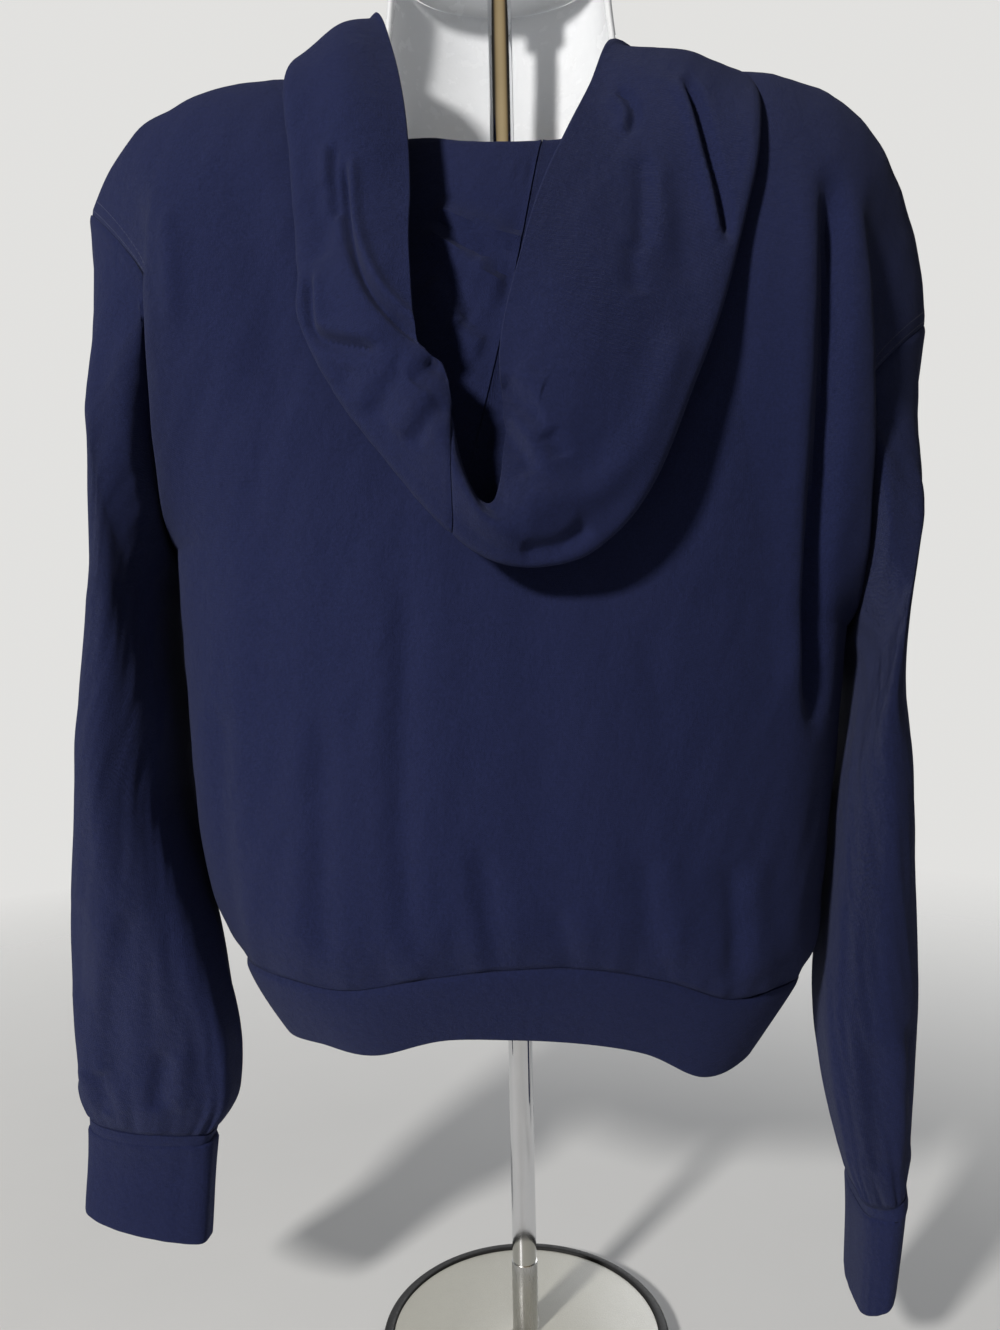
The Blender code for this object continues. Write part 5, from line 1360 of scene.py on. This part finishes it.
def make_cap(plastic):
    """The plate that closes the form's neck, round the pole."""
    angles = np.linspace(0, np.pi, 65)
    front = [(CAP_WIDTH * math.cos(a), CAP_FRONT * math.sin(a)) for a in angles]
    back = [
        (-CAP_WIDTH, CAP_SIDE), (-COLLAR_RADIUS, CAP_BACK),
        (COLLAR_RADIUS, CAP_BACK), (CAP_WIDTH, CAP_SIDE),
    ]
    knots = np.arange(4)
    places = np.linspace(0, 3, 50)
    back = np.stack([np.interp(places, knots, [p[axis] for p in back]) for axis in (0, 1)], -1)
    outline = np.concatenate([np.array(front), back[1:-1]])
    turn = np.arctan2(outline[:, 1], outline[:, 0])
    hole = np.stack([np.cos(turn), np.sin(turn)], -1) * POLE_HOLE
    rows = []
    for share, z in (
        (0, CAP_BOTTOM), (0.5, CAP_BOTTOM), (CAP_ROUND, CAP_BOTTOM), (1, CAP_BOTTOM + CAP_BEVEL),
        (1, CAP_TOP - CAP_BEVEL), (CAP_ROUND, CAP_TOP), (0.5, CAP_TOP), (0, CAP_TOP),
    ):
        flat = hole + (outline - hole) * share
        rows.append(np.concatenate([flat, np.full((len(flat), 1), z)], 1))
    looped("neck_cap", rows, plastic)


def make_stand(painted, rubber, chrome, socket):
    """Base, rim, pole in its socket, and the collar and knob that hold the form on the pole."""
    base = rounded_ring(HIDDEN_RADIUS, BASE_RADIUS, 0, BASE_HEIGHT, 0.0006)
    tube = rounded_ring(HIDDEN_RADIUS, POLE_RADIUS, SOCKET_TOP - SOCKET_DEEP, POLE_TOP, 0.0005)
    sleeve_of_pole = rounded_ring(HIDDEN_RADIUS, SOCKET_RADIUS, BASE_HEIGHT, SOCKET_TOP, 0.0004)
    collar = rounded_ring(POLE_HOLE, COLLAR_RADIUS, COLLAR_BOTTOM, CAP_BOTTOM - SEAM_GAP, 0.0012)
    parts = (
        ("base_disc", base, painted, "base_disc"),
        ("base_rim", RIM_OUTLINE, rubber, "base_rim"),
        ("pole_tube", tube, chrome, "pole"),
        ("pole_socket", sleeve_of_pole, socket, "pole"),
        ("neck_collar", collar, chrome, "neck_collar"),
        ("pole_knob", KNOB_OUTLINE, chrome, "pole_knob"),
    )
    for name, outline, surface, _ in parts:
        revolved(name, outline, surface)
    return {name: node for name, _, _, node in parts}


class Nodes:
    """The nodes of a material or of the world."""

    def __init__(self, made):
        self.made = made
        self.made.use_nodes = True
        self.tree = made.node_tree

    def node(self, kind, inputs=None, **settings):
        """A node of a kind. Its inputs, by name or number, are values or other nodes' outputs."""
        made = self.tree.nodes.new("ShaderNode" + kind)
        for name, value in settings.items():
            setattr(made, name, value)
        for key, value in (inputs or {}).items():
            self.join(made.inputs[key], value)
        return made

    def join(self, socket, value):
        if isinstance(value, bpy.types.NodeSocket):
            self.tree.links.new(value, socket)
        else:
            socket.default_value = value

    def math(self, operation, *values):
        return self.node("Math", dict(enumerate(values)), operation=operation).outputs[0]

    def noise(self, where, scale, detail=2.0, roughness=0.5):
        inputs = {"Vector": where, "Scale": scale, "Detail": detail, "Roughness": roughness}
        return self.node("TexNoise", inputs).outputs[0]

    def ramp(self, value, low, high, to_low, to_high):
        """A value's range turned into another, kept within it."""
        inputs = {0: value, 1: low, 2: high, 3: to_low, 4: to_high}
        return self.node("MapRange", inputs).outputs[0]

    def mix(self, share, first, second):
        made = self.node("Mix", data_type="RGBA")
        for key, value in (("Factor_Float", share), ("A_Color", first), ("B_Color", second)):
            socket = next(one for one in made.inputs if one.identifier == key)
            self.join(socket, value)
        return next(one for one in made.outputs if one.identifier == "Result_Color")

    def bump(self, height, distance, strength=1.0, below=None):
        inputs = {"Height": height, "Distance": distance, "Strength": strength}
        if below is not None:
            inputs["Normal"] = below
        return self.node("Bump", inputs).outputs[0]


class Surface(Nodes):
    """A material and the nodes that paint it."""

    def __init__(self, name, **settings):
        super().__init__(bpy.data.materials.new(name))
        self.shader = self.tree.nodes["Principled BSDF"]
        for socket, value in settings.items():
            self.shader.inputs[socket.replace("_", " ")].default_value = value

    def place(self):
        return self.node("TexCoord").outputs["Object"]

    def stretched(self, where, by):
        """Places squeezed along Z, so that a pattern on them is drawn out that way."""
        return self.node("Mapping", {"Vector": where, "Scale": (1.0, 1.0, by)}).outputs[0]

    def marks(self, where, noise, low, high, most):
        """Scattered marks: none where the noise is low, up to the most where it is high."""
        found = self.ramp(self.noise(where, *noise), low, high, 0.0, 1.0)
        return self.math("MULTIPLY", found, most)

    def between(self, grain, low, high):
        """A grain's middle range turned into another."""
        return self.ramp(grain, 0.3, 0.7, low, high)

    def paint(self, colour=None, roughness=None, normal=None):
        for name, value in (("Base Color", colour), ("Roughness", roughness), ("Normal", normal)):
            if value is not None:
                self.join(self.shader.inputs[name], value)
        return self.made


def scaled(colour, by):
    return (*(channel * by for channel in colour), 1)


def knit(name, colour, wale, course, height):
    """Fine jersey: columns of small V-shaped loops, with a little fuzz, uneven dye and painted shade in the
    grooves between them.
    """
    made = Surface(name, Roughness=0.95, Sheen_Weight=0.08, Sheen_Roughness=0.40, Specular_IOR_Level=0.12)
    made.shader.inputs["Sheen Tint"].default_value = (0.62, 0.68, 1.0, 1)
    place = made.node("UVMap", uv_map=CLOTH_MAP).outputs[0]
    solid = made.place()
    wobble = made.math("MULTIPLY", made.noise(place, 60.0, 2.0), 1.2)
    split = made.node("SeparateXYZ", {0: place})
    across = made.math("ADD", made.math("DIVIDE", split.outputs[0], wale), wobble)
    down = made.math("DIVIDE", split.outputs[1], course)
    side = made.math("PINGPONG", across, 0.5)
    slanted = made.math("ADD", down, made.math("MULTIPLY", side, 1.5))
    loop = made.math("SINE", made.math("MULTIPLY", slanted, 2 * math.pi))
    ridge = made.math("SINE", made.math("MULTIPLY", side, 2 * math.pi))
    stitched = made.math("ADD", made.math("MULTIPLY", loop, 0.30), made.math("MULTIPLY", ridge, 0.45))
    fuzz = made.math("MULTIPLY", made.noise(solid, 1300.0, 3.0, 0.65), 2.0)
    fine = made.bump(made.math("ADD", stitched, fuzz), height)
    normal = made.bump(made.noise(solid, 150.0, 4.0, 0.60), 0.0013, 0.70, fine)
    fleck = made.marks(solid, (720.0, 3.0, 0.7), 0.36, 0.66, 0.42)
    patch = made.marks(solid, (9.0, 4.0, 0.6), 0.30, 0.70, 0.30)
    # Painted shade: the colour darkens to 70 % in the grooves between the loops' columns, where the ridge is
    # low.
    deep = made.mix(made.ramp(ridge, 0.0, 1.0, 0.0, 1.0), scaled(colour, 0.70), scaled(colour, 1.02))
    faded = made.mix(patch, made.mix(fleck, deep, scaled(colour, 1.80)), scaled(FADED_NAVY, 1.15))
    return made.paint(faded, None, normal)


def make_materials():
    """Every surface's material, by the record's slots where it has one."""
    made = dict(
        cloth=knit("hoodie_cloth", NAVY, 0.00125, 0.00095, 0.00028),
        rib=knit("self_fabric_band", NAVY, 0.00115, 0.00090, 0.00026),
    )

    tape = Surface("zip_tape", Roughness=0.85, Sheen_Weight=0.15)
    split = tape.node("SeparateXYZ", {0: tape.node("UVMap", uv_map=CLOTH_MAP).outputs[0]})
    slanted = tape.math("ADD", split.outputs[1], split.outputs[0])
    weft = tape.math("SINE", tape.math("MULTIPLY", slanted, TAPE_WEAVE))
    warp = tape.math("SINE", tape.math("MULTIPLY", split.outputs[0], TAPE_WEAVE))
    twill = tape.math("ADD", weft, warp)
    woven = tape.ramp(twill, -1.5, 1.5, 0.0, 1.0)
    shade = tape.mix(woven, (0.008, 0.010, 0.034, 1), (0.016, 0.020, 0.062, 1))
    made["tape"] = tape.paint(shade, None, tape.bump(twill, 0.00012))

    thread = Surface("thread", Roughness=0.7, Sheen_Weight=0.2)
    twist = thread.noise(thread.place(), 4000.0, 1.0)
    shade = thread.mix(twist, (0.014, 0.017, 0.055, 1), (0.032, 0.038, 0.110, 1))
    made["thread"] = thread.paint(shade, None, thread.bump(twist, 0.0001))

    teeth = Surface("zip_teeth", Roughness=0.38)
    grain = teeth.noise(teeth.place(), 700.0, 2.0)
    shade = teeth.mix(grain, (0.010, 0.012, 0.040, 1), (0.020, 0.024, 0.066, 1))
    made["teeth"] = teeth.paint(shade, teeth.between(grain, 0.30, 0.46), teeth.bump(grain, 0.00006))

    metal = Surface("zip_metal", Metallic=1.0)
    where = metal.place()
    brushed = metal.noise(metal.stretched(where, 0.06), 5000.0, 2.0, 0.6)
    shade = metal.mix(metal.noise(where, 260.0, 3.0), (0.46, 0.46, 0.47, 1), (0.62, 0.62, 0.63, 1))
    made["metal"] = metal.paint(shade, metal.between(brushed, 0.22, 0.42), metal.bump(brushed, 0.00004))

    plastic = Surface(
        "white_plastic", IOR=1.46, Subsurface_Weight=0.35, Subsurface_Scale=0.012,
        Subsurface_Radius=(1, 1, 1), Coat_Weight=0.10, Coat_Roughness=0.08,
    )
    where = plastic.place()
    peel = plastic.noise(where, 95.0, 3.0, 0.55)
    scuffs = plastic.marks(where, (24.0, 5.0, 0.65), 0.52, 0.72, 0.5)
    shade = plastic.mix(scuffs, (0.90, 0.92, 0.95, 1), (0.85, 0.87, 0.91, 1))
    rough = plastic.between(peel, 0.20, 0.30)
    made["plastic"] = plastic.paint(shade, rough, plastic.bump(peel, 0.0008, 0.35))

    chrome = Surface("chrome", Metallic=1.0)
    where = chrome.place()
    drawn = chrome.noise(chrome.stretched(where, 0.03), 900.0, 2.0)
    haze = chrome.noise(where, 40.0, 4.0, 0.6)
    shade = chrome.mix(haze, (0.66, 0.67, 0.69, 1), (0.78, 0.78, 0.79, 1))
    rough = chrome.between(haze, 0.05, 0.12)
    made["chrome"] = chrome.paint(shade, rough, chrome.bump(drawn, 0.00003, 0.5))

    socket = Surface("pole_socket", Metallic=1.0)
    drawn = socket.noise(socket.stretched(socket.place(), 0.04), 1500.0, 3.0, 0.6)
    shade = socket.mix(drawn, (0.50, 0.50, 0.50, 1), (0.66, 0.66, 0.65, 1))
    made["socket"] = socket.paint(shade, socket.between(drawn, 0.22, 0.36), socket.bump(drawn, 0.00005))

    painted = Surface("painted_base", Coat_Weight=0.15, Coat_Roughness=0.2)
    where = painted.place()
    speckle = painted.noise(where, 1400.0, 2.0, 0.7)
    marks = painted.marks(where, (35.0, 5.0, 0.7), 0.50, 0.75, 0.25)
    shade = painted.mix(speckle, (0.44, 0.43, 0.375, 1), (0.54, 0.53, 0.465, 1))
    shade = painted.mix(marks, shade, (0.38, 0.37, 0.33, 1))
    rough = painted.between(speckle, 0.34, 0.46)
    made["painted"] = painted.paint(shade, rough, painted.bump(speckle, 0.00015))

    rubber = Surface("rubber_rim", Specular_IOR_Level=0.35)
    where = rubber.place()
    grain = rubber.noise(where, 600.0, 3.0, 0.6)
    dust = rubber.marks(where, (30.0, 4.0, 0.6), 0.5, 0.75, 0.3)
    shade = rubber.mix(dust, (0.012, 0.012, 0.013, 1), (0.035, 0.035, 0.036, 1))
    made["rubber"] = rubber.paint(shade, rubber.between(grain, 0.55, 0.72), rubber.bump(grain, 0.0001))
    return made


def make_floor():
    """A pale floor round the stand that fades into the background's colour."""
    made = Surface("floor", Roughness=0.9)
    where = made.place()
    distance = made.node("VectorMath", {0: where}, operation="LENGTH").outputs["Value"]
    mottle = made.noise(where, 14.0, 3.0)
    shade = made.mix(mottle, scaled(BACKGROUND, 0.97), scaled(BACKGROUND, 1.0))
    made.paint(shade, None, made.bump(mottle, 0.0004))
    clear = made.node("BsdfTransparent").outputs[0]
    share = made.ramp(distance, FLOOR_NEAR, FLOOR_FAR, 0.0, 1.0)
    both = made.node("MixShader", {0: share, 1: made.shader.outputs[0], 2: clear}).outputs[0]
    made.join(made.tree.nodes["Material Output"].inputs[0], both)
    turns = 2 * np.pi * np.arange(FLOOR_SPACES) / FLOOR_SPACES
    radii = (0.001, FLOOR_NEAR, FLOOR_FAR * 1.01)
    points = [(r * math.cos(a), r * math.sin(a), 0) for r in radii for a in turns]
    faces = []
    for start in (0, FLOOR_SPACES):
        for j in range(FLOOR_SPACES):
            k = (j + 1) % FLOOR_SPACES
            faces.append((start + j, start + k, start + FLOOR_SPACES + k, start + FLOOR_SPACES + j))
    mesh = bpy.data.meshes.new("floor")
    mesh.from_pydata(points, [], [face[::-1] for face in faces])
    mesh.materials.append(made.made)
    floor = bpy.data.objects.new("floor", mesh)
    floor.location = (0, 0, FLOOR_DROP)
    bpy.context.scene.collection.objects.link(floor)


def make_world():
    """Soft even light, a pale background for the camera, and a dim warm room for mirror surfaces."""
    world = Nodes(bpy.data.worlds.new("studio"))
    bpy.context.scene.world = world.made
    rays = world.node("LightPath").outputs
    way = world.node("TexCoord").outputs["Generated"]
    depth = world.node("SeparateXYZ", {0: way}).outputs[1]
    spread_out = world.node("MapRange", {0: depth, 1: -1.0, 2: 1.0}).outputs[0]
    room = world.node("ValToRGB", {0: spread_out})
    stops = room.color_ramp.elements
    stops[0].position, stops[1].position = ROOM[0][0], ROOM[-1][0]
    for place, _ in ROOM[1:-1]:
        stops.new(place)
    for stop, (_, colour) in zip(stops, ROOM):
        stop.color = (*colour, 1)
    fill, mirrored, seen = (
        world.node("Background", {0: colour, 1: strength}).outputs[0]
        for colour, strength in (
            ((*FILL_COLOUR, 1), FILL_STRENGTH), (room.outputs[0], 1.0), ((*BACKGROUND, 1), 1.0),
        )
    )
    lit = world.node("MixShader", {0: rays["Is Glossy Ray"], 1: fill, 2: mirrored}).outputs[0]
    clear = world.math("MAXIMUM", rays["Is Camera Ray"], rays["Is Transmission Ray"])
    whole = world.node("MixShader", {0: clear, 1: lit, 2: seen}).outputs[0]
    world.join(world.tree.nodes["World Output"].inputs[0], whole)


def make_lights():
    for name, place, size, watts, colour in LIGHTS:
        lamp = bpy.data.lights.new(name, "AREA")
        lamp.shape = "DISK"
        lamp.size = size
        lamp.energy = watts
        lamp.color = colour
        made = bpy.data.objects.new(name, lamp)
        made.location = place
        made.rotation_euler = (Vector(LIT_POINT) - Vector(place)).to_track_quat("-Z", "Y").to_euler()
        bpy.context.scene.collection.objects.link(made)


def make_camera():
    camera = bpy.data.cameras.new("camera")
    camera.lens = CAMERA_LENS
    camera.sensor_width = 36
    camera.clip_start = 0.01
    made = bpy.data.objects.new("camera", camera)
    level = Matrix.Rotation(math.pi, 4, "Z") @ Matrix.Rotation(math.pi / 2, 4, "X")
    made.matrix_world = Matrix.Translation(CAMERA_PLACE) @ level @ Matrix.Rotation(CAMERA_ROLL, 4, "Z")
    bpy.context.scene.collection.objects.link(made)
    bpy.context.scene.camera = made
    bpy.context.scene.view_settings.view_transform = "Standard"


def body_trees():
    """Search trees of the body and, for the sleeves, of its lower part with the hem band."""
    right_front, left_front = front_turns()
    turns = np.concatenate([spread(*BACK_TURNS), right_front, left_front])
    turn, height = np.meshgrid(turns, spread(*TORSO_HEIGHTS))
    body_tree = tree_of(torso(turn, height))
    around = np.linspace(0, 1, TUBE_PLACES)
    low_turn, low_height = np.meshgrid(around, np.linspace(0, 1, TUBE_ROWS))
    turn, share = np.meshgrid(around, np.linspace(1, 0, TUBE_BAND_ROWS)[:-1])
    low = torso(np.mod(low_turn, 1), low_height)
    return body_tree, tree_of(np.concatenate([band(turn, share), low]))


def make_topstitching(body, thread):
    """Stitches along the shoulders, the armholes and the zip."""
    shoulder = BACK_TURNS[1][0]
    lines = []
    for columns in (np.s_[: shoulder + 1], np.s_[-shoulder - 1 :]):
        line, directions = seam_line(body["back"], "last_row", SEAM_STITCH)
        lines.append((line[columns], directions[columns]))
    high = len(spread(*TORSO_HEIGHTS)) - 1 - TORSO_HEIGHTS[1][-1]
    for part, border in (
        ("back", "first_column"), ("back", "last_column"),
        ("front_right", "first_column"), ("front_left", "last_column"),
    ):
        for gap in ARMHOLE_STITCHES:
            line, directions = seam_line(body[part], border, gap)
            lines.append((line[high:], directions[high:]))
    for part, border in (("front_right", "last_column"), ("front_left", "first_column")):
        lines.append(seam_line(body[part], border, ZIP_STITCH))
    stitches("topstitching", lines, thread)


def finish_piece(name, slot, *nodes):
    """Has a piece shown in place of its CAD nodes, by hiding those nodes."""
    if nodes:
        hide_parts(*nodes)


def finish_pieces(stand):
    for name in ("back", "front_left", "front_right", "sleeve_left", "sleeve_right", "hood_left"):
        finish_piece(name, "hoodie_cloth", name)
    finish_piece("hood_right", "hoodie_cloth", "hood_right", "hood_right_crown")
    for name in ("hem_band", "cuff_left", "cuff_right"):
        finish_piece(name, "self_fabric_band", name)
    finish_piece("topstitching", "hoodie_cloth")
    for name in ("form_shell", "neck_cap"):
        finish_piece(name, "white_plastic", name)
    for name in ("zip_tape_left", "zip_tape_right"):
        finish_piece(name, "zip_tape", name)
    finish_piece("zip_teeth", "zip_teeth", "zip_chain")
    slots = dict(base_disc="painted_base", base_rim="rubber_rim")
    for name, node in stand.items():
        finish_piece(name, slots.get(name, "chrome"), node)


def main():
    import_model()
    surfaces = make_materials()
    cloth, rib, plastic = surfaces["cloth"], surfaces["rib"], surfaces["plastic"]
    body_tree, tube = body_trees()
    body = make_body(cloth)
    make_band(rib)
    for side, rows in (("left", SLEEVE_LEFT), ("right", SLEEVE_RIGHT)):
        make_sleeve(side, rows, body_tree, tube, cloth, rib)
    make_hood(cloth, body_tree)
    make_form(plastic, body_tree)
    for side, sign in (("left", 1), ("right", -1)):
        make_tape(side, sign, surfaces["tape"])
    make_teeth(surfaces["teeth"])
    make_cap(plastic)
    stand = make_stand(*(surfaces[name] for name in ("painted", "rubber", "chrome", "socket")))
    make_topstitching(body, surfaces["thread"])
    finish_pieces(stand)
    for node in ("zip_slider", "zip_pull_tab", "zip_box"):
        bpy.data.objects[node].material_slots[0].material = surfaces["metal"]
    make_floor()
    make_world()
    make_lights()
    make_camera()


main()
